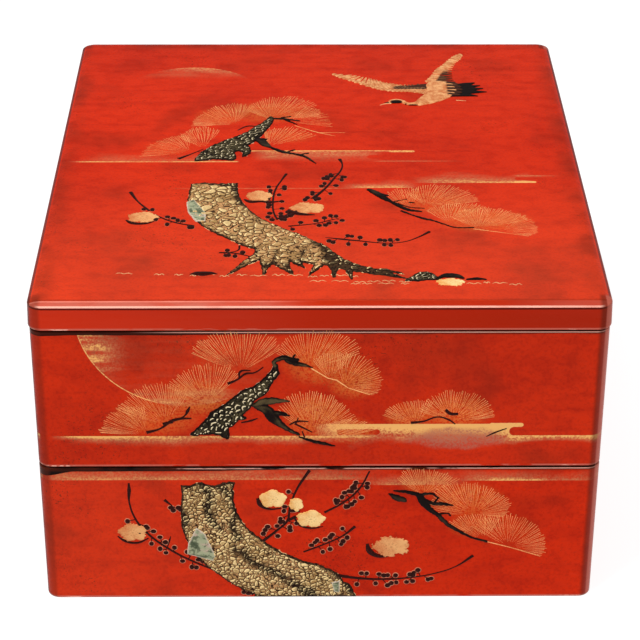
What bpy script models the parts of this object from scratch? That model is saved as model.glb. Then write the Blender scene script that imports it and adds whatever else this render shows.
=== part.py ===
"""Tiered lacquer box: a lower tier, an upper tier and a lid, stacked.

Each tier is an open box of lacquered board with rounded upright corners. A thin lip stands up inside its
rim, and the underside of whatever rests on it is recessed to drop over that lip. The lid is a flat board
with a shallow skirt that does the same. Trees in raised lacquer stand a little proud of the lid and of the
front walls. The origin is the middle of the underside, +Z is up and the front faces -Y.
"""

import math

import bmesh
import bpy

for old in list(bpy.data.objects):
    bpy.data.objects.remove(old, do_unlink=True)

# Sizes of the stack, in metres
TIER_WIDTH = 0.225
TIER_DEPTH = 0.261
LOWER_TIER_HEIGHT = 0.0643
UPPER_TIER_HEIGHT = 0.0625
LID_HEIGHT = 0.0115
SEAT_GAP = 0.0003

# Boards
WALL = 0.0060
FLOOR_BOARD = 0.0045
LID_BOARD = 0.0040

# The lip inside each rim, and the room that the piece above leaves round it
LIP_THICKNESS = 0.0026
LIP_HEIGHT = 0.0030
LIP_CLEARANCE = 0.0004
LIP_HEADROOM = 0.0004

# Rounded corners and edges
CORNER_RADIUS = 0.0055
INNER_CORNER_RADIUS = 0.0042
FLOOR_FILLET = 0.0030
LID_FILLET = 0.0010
RIM_ROUND = 0.0008
LIP_ROUND = 0.0005
LID_SHOULDER = 0.0040
LID_EDGE_DROP = 0.0017

# The lid stands out past the tiers all round and leans in a little towards its top
LID_OVERHANG = 0.00055
LID_LEAN = 0.00025

# Raised lacquer
BARK_RISE = 0.0005
BARK_BITE = 0.0012
PLUM_TRUNK_WIDTH = 0.0270
PINE_TRUNK_WIDTH = 0.0135
ROOT_WIDTH = 0.0050
KNOBBLE = 0.07

# Facets
CORNER_STEPS = 7
ROUND_STEPS = 3
FILLET_STEPS = 4
SHOULDER_STEPS = 6
BARK_STEPS = 4
SHARP_EDGE = math.radians(40)

# Worked out from the sizes above
FOOT_THICKNESS = WALL - LIP_THICKNESS - LIP_CLEARANCE
LEDGE_WIDTH = WALL - LIP_THICKNESS
RECESS_DEPTH = LIP_HEIGHT + LIP_HEADROOM
FLOOR_TOP = RECESS_DEPTH + FLOOR_BOARD
SKIRT_THICKNESS = FOOT_THICKNESS + LID_OVERHANG
UPPER_TIER_Z = LOWER_TIER_HEIGHT + SEAT_GAP
LID_Z = UPPER_TIER_Z + UPPER_TIER_HEIGHT + SEAT_GAP
FRONT_Y = -TIER_DEPTH / 2
LID_TOP_Z = LID_Z + LID_HEIGHT

# Trees, as stations along each trunk or root: places across the board and along it, as shares of half its
# width and depth on the lid, or of half its width and its whole height on a wall, then the share of the
# trunk's or root's full width
LID_PLUM = (
    (-0.396, -0.192, 0.79),
    (-0.391, -0.322, 1.00),
    (-0.329, -0.467, 0.97),
    (-0.222, -0.567, 0.93),
    (-0.098, -0.651, 0.90),
    (-0.018, -0.720, 0.66),
)
LID_ROOTS = (
    ((-0.160, -0.690, 1.0), (-0.240, -0.751, 0.7), (-0.316, -0.812, 0.25)),
    ((-0.133, -0.705, 1.0), (-0.116, -0.766, 0.8), (-0.093, -0.812, 0.25)),
    ((-0.027, -0.720, 1.0), (-0.027, -0.774, 0.6), (-0.044, -0.820, 0.25)),
    ((0.000, -0.705, 1.2), (0.124, -0.759, 1.0), (0.276, -0.831, 0.30)),
)
LID_PINE = (
    (-0.418, -0.004, 0.67),
    (-0.373, 0.046, 1.00),
    (-0.324, 0.103, 0.89),
    (-0.267, 0.165, 0.65),
    (-0.218, 0.238, 0.41),
    (-0.185, 0.299, 0.24),
)
WALL_PINE = (
    (-0.418, 0.254, 0.67),
    (-0.364, 0.318, 0.96),
    (-0.307, 0.398, 0.96),
    (-0.231, 0.534, 0.67),
    (-0.182, 0.630, 0.44),
    (-0.156, 0.742, 0.24),
)
WALL_PLUM = (
    (-0.398, 0.894, 0.85),
    (-0.396, 0.700, 0.76),
    (-0.382, 0.498, 0.90),
    (-0.302, 0.303, 0.93),
    (-0.169, 0.171, 0.89),
    (-0.018, 0.047, 0.85),
    (0.089, -0.062, 0.81),
)


def material(name, colour, roughness, metallic):
    """A Principled material in one colour."""
    made = bpy.data.materials.new(name)
    made.use_nodes = True
    shader = made.node_tree.nodes["Principled BSDF"]
    shader.inputs["Base Color"].default_value = (*colour, 1.0)
    shader.inputs["Roughness"].default_value = roughness
    shader.inputs["Metallic"].default_value = metallic
    made.diffuse_color = (*colour, 1.0)
    return made


def arc(centre_inset, centre_z, radius, start, end, steps, tall=None):
    """Points (inset, z) along an arc of a circle, or of an ellipse whose upright radius is tall.

    Inset runs inwards from the outer side. An angle of 0 degrees points outwards and 90 points up.
    """
    upright = tall or radius
    points = []
    for step in range(steps + 1):
        angle = math.radians(start + (end - start) * step / steps)
        points.append((centre_inset - radius * math.cos(angle), centre_z + upright * math.sin(angle)))
    return points


def corner_radius_at(inset, outer_radius):
    """Radius of the upright corner at this inset: the outer corner's inside the wall, then the inner one's."""
    if inset >= WALL:
        return max(INNER_CORNER_RADIUS - (inset - WALL), INNER_CORNER_RADIUS / 10)
    return max(outer_radius - inset, outer_radius / 5)


def rounded_rectangle(half_x, half_y, radius):
    """Points round a rectangle with rounded corners, the same number for every ring."""
    points = []
    for side_x, side_y, start in ((1, -1, -90), (1, 1, 0), (-1, 1, 90), (-1, -1, 180)):
        centre_x = side_x * (half_x - radius)
        centre_y = side_y * (half_y - radius)
        for step in range(CORNER_STEPS + 1):
            angle = math.radians(start + 90 * step / CORNER_STEPS)
            points.append((centre_x + radius * math.cos(angle), centre_y + radius * math.sin(angle)))
    return points


def lofted(name, rings):
    """A closed mesh object through rings of points, capped at the first and the last ring."""
    form = bmesh.new()
    loops = [[form.verts.new(point) for point in ring] for ring in rings]
    for low, high in zip(loops, loops[1:]):
        for here in range(len(low)):
            after = (here + 1) % len(low)
            form.faces.new((low[here], low[after], high[after], high[here]))
    form.faces.new(list(reversed(loops[0])))
    form.faces.new(loops[-1])
    bmesh.ops.recalc_face_normals(form, faces=form.faces)
    mesh = bpy.data.meshes.new(name)
    form.to_mesh(mesh)
    form.free()
    made = bpy.data.objects.new(name, mesh)
    bpy.context.collection.objects.link(made)
    return made


def board_shell(name, overhang, profile, base_z, finish):
    """A tier or the lid: its section (inset, z) carried round the rounded rectangle of its plan."""
    outer_radius = CORNER_RADIUS + overhang
    half_x = TIER_WIDTH / 2 + overhang
    half_y = TIER_DEPTH / 2 + overhang
    rings = []
    for inset, z in profile:
        radius = corner_radius_at(inset, outer_radius)
        outline = rounded_rectangle(half_x - inset, half_y - inset, radius)
        rings.append([(x, y, z) for x, y in outline])
    piece = lofted(name, rings)
    piece.location.z = base_z
    piece.data.materials.append(finish)
    piece.data.shade_smooth()
    piece.data.set_sharp_from_angle(angle=SHARP_EDGE)
    return piece


def tier_profile(height):
    """Section of a tier, from the middle of its underside round the outside to the middle of its floor."""
    lip_top = height + LIP_HEIGHT
    points = [(FOOT_THICKNESS, RECESS_DEPTH)]
    points += arc(FOOT_THICKNESS - LIP_ROUND, LIP_ROUND, LIP_ROUND, 180, 270, ROUND_STEPS)
    points += arc(RIM_ROUND, RIM_ROUND, RIM_ROUND, -90, 0, ROUND_STEPS)
    points += arc(RIM_ROUND, height - RIM_ROUND, RIM_ROUND, 0, 90, ROUND_STEPS)
    points += [(LEDGE_WIDTH, height)]
    points += arc(LEDGE_WIDTH + LIP_ROUND, lip_top - LIP_ROUND, LIP_ROUND, 0, 90, ROUND_STEPS)
    points += arc(WALL - LIP_ROUND, lip_top - LIP_ROUND, LIP_ROUND, 90, 180, ROUND_STEPS)
    points += arc(WALL + FLOOR_FILLET, FLOOR_TOP + FLOOR_FILLET, FLOOR_FILLET, 0, -90, FILLET_STEPS)
    return points


def lid_profile():
    """Section of the lid, from the middle of its hollow round the skirt to the middle of its top."""
    hollow_top = LID_HEIGHT - LID_BOARD
    shoulder_inset = LID_LEAN + LID_SHOULDER
    shoulder_z = LID_HEIGHT - LID_EDGE_DROP
    points = arc(SKIRT_THICKNESS + LID_FILLET, hollow_top - LID_FILLET, LID_FILLET, 90, 0, ROUND_STEPS)
    points += arc(SKIRT_THICKNESS - LIP_ROUND, LIP_ROUND, LIP_ROUND, 180, 270, ROUND_STEPS)
    points += arc(RIM_ROUND, RIM_ROUND, RIM_ROUND, -90, 0, ROUND_STEPS)
    points += arc(shoulder_inset, shoulder_z, LID_SHOULDER, 0, 90, SHOULDER_STEPS, LID_EDGE_DROP)
    return points


def smooth_line(stations):
    """Stations joined by a smooth curve that passes through every one."""
    ends = (stations[0], *stations, stations[-1])
    line = []
    for a, b, c, d in zip(ends, ends[1:], ends[2:], ends[3:]):
        for step in range(BARK_STEPS):
            t = step / BARK_STEPS
            line.append([])
            for p, q, r, s in zip(a, b, c, d):
                bend = (2 * p - 5 * q + 4 * r - s) * t**2 + (3 * q - p - 3 * r + s) * t**3
                line[-1].append(0.5 * (2 * q + (r - p) * t + bend))
    line.append(list(stations[-1]))
    return line


def ridge(name, stations, full_width, place):
    """A low rounded ridge of lacquer along a trunk or root, its foot sunk into the board.

    The stations' places are in metres on the board's face, and place turns (across, along, height) there
    into a point.
    """
    section = (
        (-1.0, -BARK_BITE),
        (-1.0, 0.4 * BARK_RISE),
        (-0.6, 0.85 * BARK_RISE),
        (0.0, BARK_RISE),
        (0.6, 0.85 * BARK_RISE),
        (1.0, 0.4 * BARK_RISE),
        (1.0, -BARK_BITE),
    )
    line = smooth_line(stations)
    rings = []
    for index, (u, v, share) in enumerate(line):
        before = line[max(index - 1, 0)]
        after = line[min(index + 1, len(line) - 1)]
        run = math.hypot(after[0] - before[0], after[1] - before[1])
        side_u = (before[1] - after[1]) / run
        side_v = (after[0] - before[0]) / run
        half = 0.5 * full_width * share * (1 + KNOBBLE * math.sin(2.3 * index))
        rings.append([place(u + side_u * half * s, v + side_v * half * s, high) for s, high in section])
    made = lofted(name, rings)
    made.hide_render = True
    made.display_type = "WIRE"
    return made


def on_lid(u, v, high):
    """A point over the lid's top."""
    return (u, v, LID_TOP_Z + high)


def on_front(u, v, high):
    """A point in front of the front walls."""
    return (u, FRONT_Y - high, v)


def lid_ridge(name, shares, full_width):
    """A ridge on the lid's top."""
    stations = [(u * TIER_WIDTH / 2, v * TIER_DEPTH / 2, w) for u, v, w in shares]
    return ridge(name, stations, full_width, on_lid)


def wall_ridge(name, shares, full_width, base_z, height):
    """A ridge on a tier's front wall, cut off where the wall rounds under to its foot."""
    stations = [(u * TIER_WIDTH / 2, base_z + v * height, w) for u, v, w in shares]
    made = ridge(name, stations, full_width, on_front)
    form = bmesh.new()
    form.from_mesh(made.data)
    everything = form.verts[:] + form.edges[:] + form.faces[:]
    foot = (0, 0, base_z + RIM_ROUND)
    cut = bmesh.ops.bisect_plane(form, geom=everything, plane_co=foot, plane_no=(0, 0, -1), clear_outer=True)
    rim = [part for part in cut["geom_cut"] if isinstance(part, bmesh.types.BMEdge)]
    bmesh.ops.holes_fill(form, edges=rim)
    bmesh.ops.recalc_face_normals(form, faces=form.faces)
    form.to_mesh(made.data)
    form.free()
    return made


def build_up(piece, ridges):
    """Joins raised ridges to the board that they stand on."""
    for raised in ridges:
        union = piece.modifiers.new(raised.name, "BOOLEAN")
        union.operation = "UNION"
        union.solver = "EXACT"
        union.object = raised


lower_red = material("lower_tier_lacquer", (0.52, 0.045, 0.012), 0.22, 0.0)
upper_red = material("upper_tier_lacquer", (0.54, 0.050, 0.014), 0.22, 0.0)
lid_red = material("lid_lacquer", (0.56, 0.055, 0.016), 0.20, 0.0)

lower_tier = board_shell("lower_tier", 0.0, tier_profile(LOWER_TIER_HEIGHT), 0.0, lower_red)
build_up(lower_tier, [wall_ridge("wall_plum_trunk", WALL_PLUM, PLUM_TRUNK_WIDTH, 0.0, LOWER_TIER_HEIGHT)])

upper_tier = board_shell("upper_tier", 0.0, tier_profile(UPPER_TIER_HEIGHT), UPPER_TIER_Z, upper_red)
pine = wall_ridge("wall_pine_trunk", WALL_PINE, PINE_TRUNK_WIDTH, UPPER_TIER_Z, UPPER_TIER_HEIGHT)
build_up(upper_tier, [pine])

lid = board_shell("lid", LID_OVERHANG, lid_profile(), LID_Z, lid_red)
lid_trees = [
    lid_ridge("lid_plum_trunk", LID_PLUM, PLUM_TRUNK_WIDTH),
    lid_ridge("lid_pine_trunk", LID_PINE, PINE_TRUNK_WIDTH),
]
for number, root in enumerate(LID_ROOTS, 1):
    lid_trees.append(lid_ridge(f"lid_plum_root_{number}", root, ROOT_WIDTH))
build_up(lid, lid_trees)
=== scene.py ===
import math
import random

import bmesh
import bpy
import numpy as np
from mathutils import Matrix, Vector, noise


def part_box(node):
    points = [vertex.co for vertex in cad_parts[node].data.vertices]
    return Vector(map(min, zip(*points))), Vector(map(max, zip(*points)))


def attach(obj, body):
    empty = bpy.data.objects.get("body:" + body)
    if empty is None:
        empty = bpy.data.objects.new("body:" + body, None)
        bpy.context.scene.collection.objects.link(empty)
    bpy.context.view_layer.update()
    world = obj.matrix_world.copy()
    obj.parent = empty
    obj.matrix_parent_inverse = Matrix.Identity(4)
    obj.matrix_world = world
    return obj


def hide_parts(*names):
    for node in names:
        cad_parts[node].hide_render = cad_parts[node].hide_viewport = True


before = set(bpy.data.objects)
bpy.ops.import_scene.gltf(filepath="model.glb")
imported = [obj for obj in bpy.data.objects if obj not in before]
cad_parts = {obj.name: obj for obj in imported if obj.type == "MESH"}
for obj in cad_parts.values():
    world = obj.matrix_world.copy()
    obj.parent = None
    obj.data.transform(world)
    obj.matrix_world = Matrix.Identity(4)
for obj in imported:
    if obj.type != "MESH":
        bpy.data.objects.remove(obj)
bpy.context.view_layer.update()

MM = 0.001
CAMERA_PLACE = (-0.00727, -0.85925, 0.54673)
CAMERA_PITCH, CAMERA_YAW, CAMERA_ROLL = math.radians(29.64), math.radians(0.567), math.radians(0.188)
CAMERA_LENS = 122.8
TABLE_GLOW = 0.84

aim = Matrix.Rotation(-CAMERA_YAW, 3, "Z") @ Matrix.Rotation(math.pi / 2 - CAMERA_PITCH, 3, "X")
aim = aim @ Matrix.Rotation(CAMERA_ROLL, 3, "Z")
bpy.ops.object.camera_add(location=CAMERA_PLACE, rotation=aim.to_euler())
camera = bpy.context.object
camera.data.lens = CAMERA_LENS
camera.data.sensor_width = 36
camera.data.clip_start = 0.05
camera.data.clip_end = 20
bpy.context.scene.camera = camera
bpy.context.scene.view_settings.view_transform = "Standard"


def soft_box(place, width, height, power, colour):
    """A rectangular soft light at a place, turned to face the middle of the box."""
    turn = (Vector((0, 0, 0.07)) - Vector(place)).to_track_quat("-Z", "Y").to_euler()
    bpy.ops.object.light_add(type="AREA", location=place, rotation=turn)
    light = bpy.context.object.data
    light.shape = "RECTANGLE"
    light.size = width
    light.size_y = height
    light.energy = power
    light.color = colour


soft_box((-0.55, -0.5, 1.5), 0.5, 0.5, 16, (1.0, 0.97, 0.94))
soft_box((1.1, -0.6, 0.9), 0.35, 0.9, 3, (1.0, 0.98, 1.0))
soft_box((0.0, -0.35, 1.5), 1.2, 0.25, 6, (1.0, 1.0, 1.0))

world = bpy.data.worlds.new("studio")
bpy.context.scene.world = world
world.use_nodes = True
world.node_tree.nodes["Background"].inputs["Color"].default_value = (1.0, 1.0, 1.0, 1)
world.node_tree.nodes["Background"].inputs["Strength"].default_value = 0.36

bpy.ops.mesh.primitive_plane_add(size=8, location=(0, 0, 0))
floor = bpy.context.object
floor.name = "floor"
floor_paint = bpy.data.materials.new("white_table")
floor_paint.use_nodes = True
paper = floor_paint.node_tree.nodes["Principled BSDF"]
paper.inputs["Base Color"].default_value = (0.3, 0.3, 0.3, 1)
paper.inputs["Roughness"].default_value = 0.9
paper.inputs["Specular IOR Level"].default_value = 0.1
paper.inputs["Emission Color"].default_value = (1, 1, 1, 1)
paper.inputs["Emission Strength"].default_value = TABLE_GLOW
floor.data.materials.append(floor_paint)

# The boards. Each tier and the lid is a box of thin boards, jointed at rounded corners and built up with
# many coats of lacquer, so that it reads as one smooth shell: red outside, black inside and beneath, with
# a lip round each rim that the piece above drops over.
LOWER_LOW, LOWER_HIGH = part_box("lower_tier")
UPPER_LOW, UPPER_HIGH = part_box("upper_tier")
LID_LOW, LID_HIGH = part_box("lid")
LIP_HEIGHT = 3.0 * MM
LIP_HEADROOM = 0.4 * MM
RECESS = LIP_HEIGHT + LIP_HEADROOM
WALL = 6.0 * MM
LIP = 2.6 * MM
LIP_CLEARANCE = 0.4 * MM
FOOT = WALL - LIP - LIP_CLEARANCE
FLOOR_BOARD = 4.5 * MM
LID_BOARD = 4.0 * MM
CORNER = 5.5 * MM
INNER_CORNER = 4.2 * MM
RIM_ROUND = 0.8 * MM
LIP_ROUND = 0.5 * MM
FLOOR_ROUND = 3 * MM
LID_ROUND = 1.6 * MM
SHOULDER, SHOULDER_DROP = 3.0 * MM, 1.1 * MM
OVERHANG = 0.55 * MM
LEAN = 0.25 * MM
ARRIS = 0.45 * MM
BARK_RISE = 0.5 * MM
HALF_X = LOWER_HIGH[0]
HALF_Y = LOWER_HIGH[1]
LEDGE_1 = LOWER_HIGH[2] - LIP_HEIGHT
LEDGE_2 = UPPER_HIGH[2] - LIP_HEIGHT
LID_TOP = LID_HIGH[2] - BARK_RISE


def inset_of(point, half_x, half_y, corner):
    """How far a point lies inside the rounded outline of a block."""
    across = abs(point.x) - half_x + corner
    along = abs(point.y) - half_y + corner
    outside = math.hypot(max(across, 0), max(along, 0))
    return corner - outside - min(max(across, along), 0)


def pick_edges(wanted):
    """Selects, in edit mode, only the edges whose two ends pass a test."""
    form = bmesh.from_edit_mesh(bpy.context.object.data)
    bpy.ops.mesh.select_all(action="DESELECT")
    bpy.ops.mesh.select_mode(type="EDGE")
    for edge in form.edges:
        edge.select_set(wanted(edge.verts[0].co, edge.verts[1].co))
    bmesh.update_edit_mesh(bpy.context.object.data)


def rounded_block(name, half_x, half_y, low, high, corner):
    """An upright block with its four upright edges rounded."""
    bpy.ops.object.select_all(action="DESELECT")
    bpy.ops.mesh.primitive_cube_add(size=1, location=(0, 0, (low + high) / 2))
    made = bpy.context.object
    made.name = name
    bpy.ops.transform.resize(value=(2 * half_x, 2 * half_y, high - low))
    bpy.ops.object.transform_apply(location=True, rotation=True, scale=True)
    bpy.ops.object.mode_set(mode="EDIT")
    pick_edges(lambda a, b: abs(a.z - b.z) > (high - low) / 2)
    bpy.ops.mesh.bevel(offset=corner, segments=12)
    bpy.ops.object.mode_set(mode="OBJECT")
    return made


def round_rim(made, z, width, steps):
    """Rounds the outline of a block at one height."""
    bpy.ops.object.select_all(action="DESELECT")
    made.select_set(True)
    bpy.context.view_layer.objects.active = made
    bpy.ops.object.mode_set(mode="EDIT")
    pick_edges(lambda a, b: abs(a.z - z) < 1e-6 and abs(b.z - z) < 1e-6)
    bpy.ops.mesh.bevel(offset=width, segments=steps)
    bpy.ops.object.mode_set(mode="OBJECT")


def combine(base, tool, operation):
    """Joins a block to another, or cuts it away, and deletes it."""
    bpy.ops.object.select_all(action="DESELECT")
    base.select_set(True)
    bpy.context.view_layer.objects.active = base
    bpy.ops.object.modifier_add(type="BOOLEAN")
    base.modifiers[-1].operation = operation
    base.modifiers[-1].object = tool
    bpy.ops.object.modifier_apply(modifier=base.modifiers[-1].name)
    bpy.data.objects.remove(tool)


def finish_board(made, is_black):
    """Smooths a shell, with flat faces left flat, and gives the faces that pass a test the second finish."""
    bpy.ops.object.select_all(action="DESELECT")
    made.select_set(True)
    bpy.context.view_layer.objects.active = made
    bpy.ops.object.shade_smooth_by_angle(angle=math.radians(35))
    bpy.ops.object.modifier_add(type="WEIGHTED_NORMAL")
    made.modifiers[-1].keep_sharp = True
    bpy.ops.object.modifier_apply(modifier=made.modifiers[-1].name)
    bpy.ops.object.material_slot_add()
    bpy.ops.object.material_slot_add()
    for face in made.data.polygons:
        face.material_index = 1 if is_black(face.center) else 0


def tier(name, low, ledge):
    """One tier: a wall block, a lip block on it, and the hollow and the recess beneath cut out."""
    lip_top = ledge + LIP_HEIGHT
    floor_top = low + RECESS + FLOOR_BOARD
    body = rounded_block(name, HALF_X, HALF_Y, low, ledge, CORNER)
    round_rim(body, low, RIM_ROUND, 4)
    round_rim(body, ledge, RIM_ROUND, 4)
    inset = WALL - LIP
    lip = rounded_block("lip", HALF_X - inset, HALF_Y - inset, ledge - MM, lip_top, CORNER - inset)
    round_rim(lip, lip_top, LIP_ROUND, 3)
    combine(body, lip, "UNION")
    hollow = rounded_block("hollow", HALF_X - WALL, HALF_Y - WALL, floor_top, lip_top + MM, INNER_CORNER)
    round_rim(hollow, floor_top, FLOOR_ROUND, 6)
    combine(body, hollow, "DIFFERENCE")
    recess = rounded_block("recess", HALF_X - FOOT, HALF_Y - FOOT, low - MM, low + RECESS, CORNER - FOOT)
    combine(body, recess, "DIFFERENCE")

    def is_black(centre):
        inset = inset_of(centre, HALF_X, HALF_Y, CORNER)
        return inset > RIM_ROUND * 0.9 or (centre.z < low + 0.15 * MM)

    finish_board(body, is_black)
    return body


lower_tier = tier("lower_tier_boards", LOWER_LOW[2], LEDGE_1)
upper_tier = tier("upper_tier_boards", UPPER_LOW[2], LEDGE_2)

lid_corner = CORNER + OVERHANG
lid_x, lid_y = HALF_X + OVERHANG, HALF_Y + OVERHANG
shoulder_low = LID_TOP - SHOULDER_DROP
lid = rounded_block("lid_boards", lid_x, lid_y, LID_LOW[2], LID_TOP, lid_corner)
round_rim(lid, LID_LOW[2], RIM_ROUND, 4)
round_rim(lid, LID_TOP, SHOULDER, 1)
bpy.ops.object.mode_set(mode="EDIT")
form = bmesh.from_edit_mesh(lid.data)
for vertex in form.verts:
    if abs(vertex.co.z - LID_TOP + SHOULDER) < 1e-6:
        vertex.co.z = shoulder_low
        vertex.co.x *= 1 - LEAN / lid_x
        vertex.co.y *= 1 - LEAN / lid_y
bmesh.update_edit_mesh(lid.data)
bpy.ops.object.mode_set(mode="OBJECT")
round_rim(lid, shoulder_low, ARRIS, 4)
round_rim(lid, LID_TOP, LID_ROUND, 5)
skirt = FOOT + OVERHANG
hollow_top = LID_TOP - LID_BOARD
hollow = rounded_block("hollow", lid_x - skirt, lid_y - skirt, LID_LOW[2] - MM, hollow_top, CORNER - FOOT)
round_rim(hollow, hollow_top, 1 * MM, 3)
combine(lid, hollow, "DIFFERENCE")


def under_lid(centre):
    """Whether a face of the lid is beneath it, inside its skirt."""
    return inset_of(centre, lid_x, lid_y, lid_corner) > RIM_ROUND * 0.9 and centre.z < hollow_top + MM / 2


finish_board(lid, under_lid)

# The lacquer. Red and black coats over wood, rubbed smooth and aged: cloudy, faintly streaked along the
# boards, specked with dark points, browned at the edges and worn to the pale ground along the lower rims.
# Painted shade darkens the seams, the feet and the rounded corners, and painted highlights run along the top
# rims, the lid's front and the right corners.
def node(tree, kind, **settings):
    """Adds one shader node with its plain settings."""
    made = tree.nodes.new("ShaderNode" + kind)
    for name, value in settings.items():
        setattr(made, name, value)
    return made


def feed(socket, value):
    """Gives an input a link from another node, or a plain value."""
    if isinstance(value, bpy.types.NodeSocket):
        socket.id_data.links.new(value, socket)
    else:
        socket.default_value = value


def tree_of(values):
    """The node tree that the first output among some values belongs to."""
    return next(value.id_data for value in values if isinstance(value, bpy.types.NodeSocket))


def calc(operation, *values):
    """One Math node on outputs or numbers."""
    made = node(tree_of(values), "Math", operation=operation)
    for socket, value in zip(made.inputs, values):
        feed(socket, value)
    return made.outputs[0]


def plus(first, second):
    """The sum of two values."""
    return calc("ADD", first, second)


def minus(first, second):
    """One value less another."""
    return calc("SUBTRACT", first, second)


def most(first, second):
    """The greater of two values."""
    return calc("MAXIMUM", first, second)


def apart(first, second):
    """How far apart two values are."""
    return calc("ABSOLUTE", minus(first, second))


def squares(first, second):
    """The sum of the squares of two values."""
    return plus(calc("POWER", first, 2.0), calc("POWER", second, 2.0))


def product(*values):
    """Multiplies several outputs or numbers."""
    total = values[0]
    for value in values[1:]:
        total = calc("MULTIPLY", total, value)
    return total


def ramp(value, low, high, to_low=0.0, to_high=1.0):
    """A smooth step from one value to another."""
    made = node(value.id_data, "MapRange", interpolation_type="SMOOTHSTEP")
    labels = ("Value", "From Min", "From Max", "To Min", "To Max")
    for label, given in zip(labels, (value, low, high, to_low, to_high)):
        feed(made.inputs[label], given)
    return made.outputs[0]


def mixed(factor, first, second):
    """Mixes two colours by a mask."""
    made = node(tree_of((factor, first, second)), "Mix", data_type="RGBA")
    for number, value in ((0, factor), (6, first), (7, second)):
        feed(made.inputs[number], value)
    return made.outputs[2]


def grain(place, scale, detail=2.0, stretch=(1, 1, 1)):
    """A noise of a given scale, with its pattern stretched along an axis."""
    turned = node(place.id_data, "Mapping")
    feed(turned.inputs["Vector"], place)
    turned.inputs["Scale"].default_value = stretch
    made = node(place.id_data, "TexNoise")
    feed(made.inputs["Vector"], turned.outputs[0])
    made.inputs["Scale"].default_value = scale
    made.inputs["Detail"].default_value = detail
    return made.outputs["Fac"]


SOCKET_KINDS = {"Place": "Vector", "Colour": "Color", "Deep Colour": "Color", "Stain": "Color"}


def new_group(name, inputs, outputs):
    """An empty group of shader nodes, and the sockets at its two ends, numbers but for those listed above."""
    tree = bpy.data.node_groups.new(name, "ShaderNodeTree")
    for labels, way in ((inputs, "INPUT"), (outputs, "OUTPUT")):
        for label in labels:
            kind = SOCKET_KINDS.get(label, "Float")
            tree.interface.new_socket(label, in_out=way, socket_type="NodeSocket" + kind)
    return tree, tree.nodes.new("NodeGroupInput").outputs, tree.nodes.new("NodeGroupOutput").inputs


def placed(group, **values):
    """Puts a group beside what feeds it, its inputs named with low lines for spaces."""
    made = tree_of(values.values()).nodes.new("ShaderNodeGroup")
    made.node_tree = group
    for label, value in values.items():
        feed(made.inputs[label.replace("_", " ")], value)
    return made.outputs


def new_finish(name):
    """A new material, the inputs of its Principled shader and its place on the object."""
    made = bpy.data.materials.new(name)
    made.use_nodes = True
    shader = made.node_tree.nodes["Principled BSDF"].inputs
    return made, shader, node(made.node_tree, "TexCoord").outputs["Object"]


def split(place):
    """The three coordinates of a place."""
    made = node(place.id_data, "SeparateXYZ")
    feed(made.inputs[0], place)
    return made.outputs


def bumped(height, distance, strength):
    """A normal from a height."""
    made = node(height.id_data, "Bump")
    feed(made.inputs["Height"], height)
    made.inputs["Distance"].default_value = distance
    made.inputs["Strength"].default_value = strength
    return made.outputs["Normal"]


def from_edge(axis, half):
    """How far a coordinate is from the nearer of two opposite walls."""
    return minus(half, calc("ABSOLUTE", axis))


aged, given, out = new_group(
    "aged coats", ("Place", "Colour", "Deep Colour", "Stain"), ("Colour", "Roughness", "Height")
)
place = given["Place"]
clouds = ramp(grain(place, 17, 4), 0.36, 0.72)
streaks = ramp(grain(place, 1, 3, (9, 200, 200)), 0.42, 0.78)
patches = ramp(grain(place, 210, 3, (0.6, 1, 1)), 0.4, 0.7)
mottle = grain(place, 900, 2)
soiled = ramp(grain(place, 26, 3), 0.5, 0.7)
points = ramp(grain(place, 1300, 1), 0.63, 0.72)
smoke = ramp(grain(place, 34, 5), 0.5, 0.74)
specks = most(product(soiled, points, 0.85), product(smoke, 0.27))
shade = most(product(clouds, 0.58), product(streaks, 0.45))
shade = plus(shade, product(ramp(mottle, 0.44, 0.7), 0.4))
shade = plus(shade, product(patches, 0.35))
coat = mixed(shade, given["Colour"], given["Deep Colour"])
feed(out["Colour"], mixed(specks, coat, given["Stain"]))
rough = calc("MULTIPLY_ADD", patches, 0.12, 0.26)
feed(out["Roughness"], calc("MULTIPLY_ADD", specks, 0.3, rough))
feed(out["Height"], calc("MULTIPLY_ADD", mottle, 0.12, grain(place, 120, 2)))

# A broken line at one height, more of it near the corners: real wear at the feet, and the painted highlight
# along the top rims.
wear_and_highlight_line, given, out = new_group("worn line", ("Place", "Level", "Reach", "Amount"), ("Mask",))
x, y, z = split(given["Place"])
near = minus(1.0, ramp(calc("DIVIDE", apart(z, given["Level"]), given["Reach"]), 0.55, 1.0))
from_corner = calc("SQRT", squares(from_edge(x, HALF_X), from_edge(y, HALF_Y)))
corner_wear = ramp(from_corner, 6 * MM, 38 * MM, 0.3, 0.0)
patches = plus(grain(given["Place"], 1, 4, (90, 90, 500)), corner_wear)
limit = minus(1.0, given["Amount"])
feed(out["Mask"], product(near, ramp(minus(patches, limit), 0.0, 0.09)))

RED = (0.63, 0.025, 0.0025, 1)
DEEP_RED = (0.42, 0.0125, 0.0015, 1)
LIT_PALE_RED = (1, 0.46, 0.2, 1)
BROWN = (0.09, 0.012, 0.004, 1)
SOOT = (0.006, 0.0025, 0.002, 1)
ROSE = (0.92, 0.46, 0.36, 1)
BLUSH = (0.52, 0.13, 0.09, 1)
MAUVE = (0.13, 0.03, 0.025, 1)
BLACK = (0.006, 0.0045, 0.004, 1)
WARM_BLACK = (0.012, 0.008, 0.006, 1)
DUST = (0.05, 0.03, 0.02, 1)


def darker(colour, share):
    """A colour with its light cut to a share."""
    return tuple(part * share for part in colour[:3]) + (1,)


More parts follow.
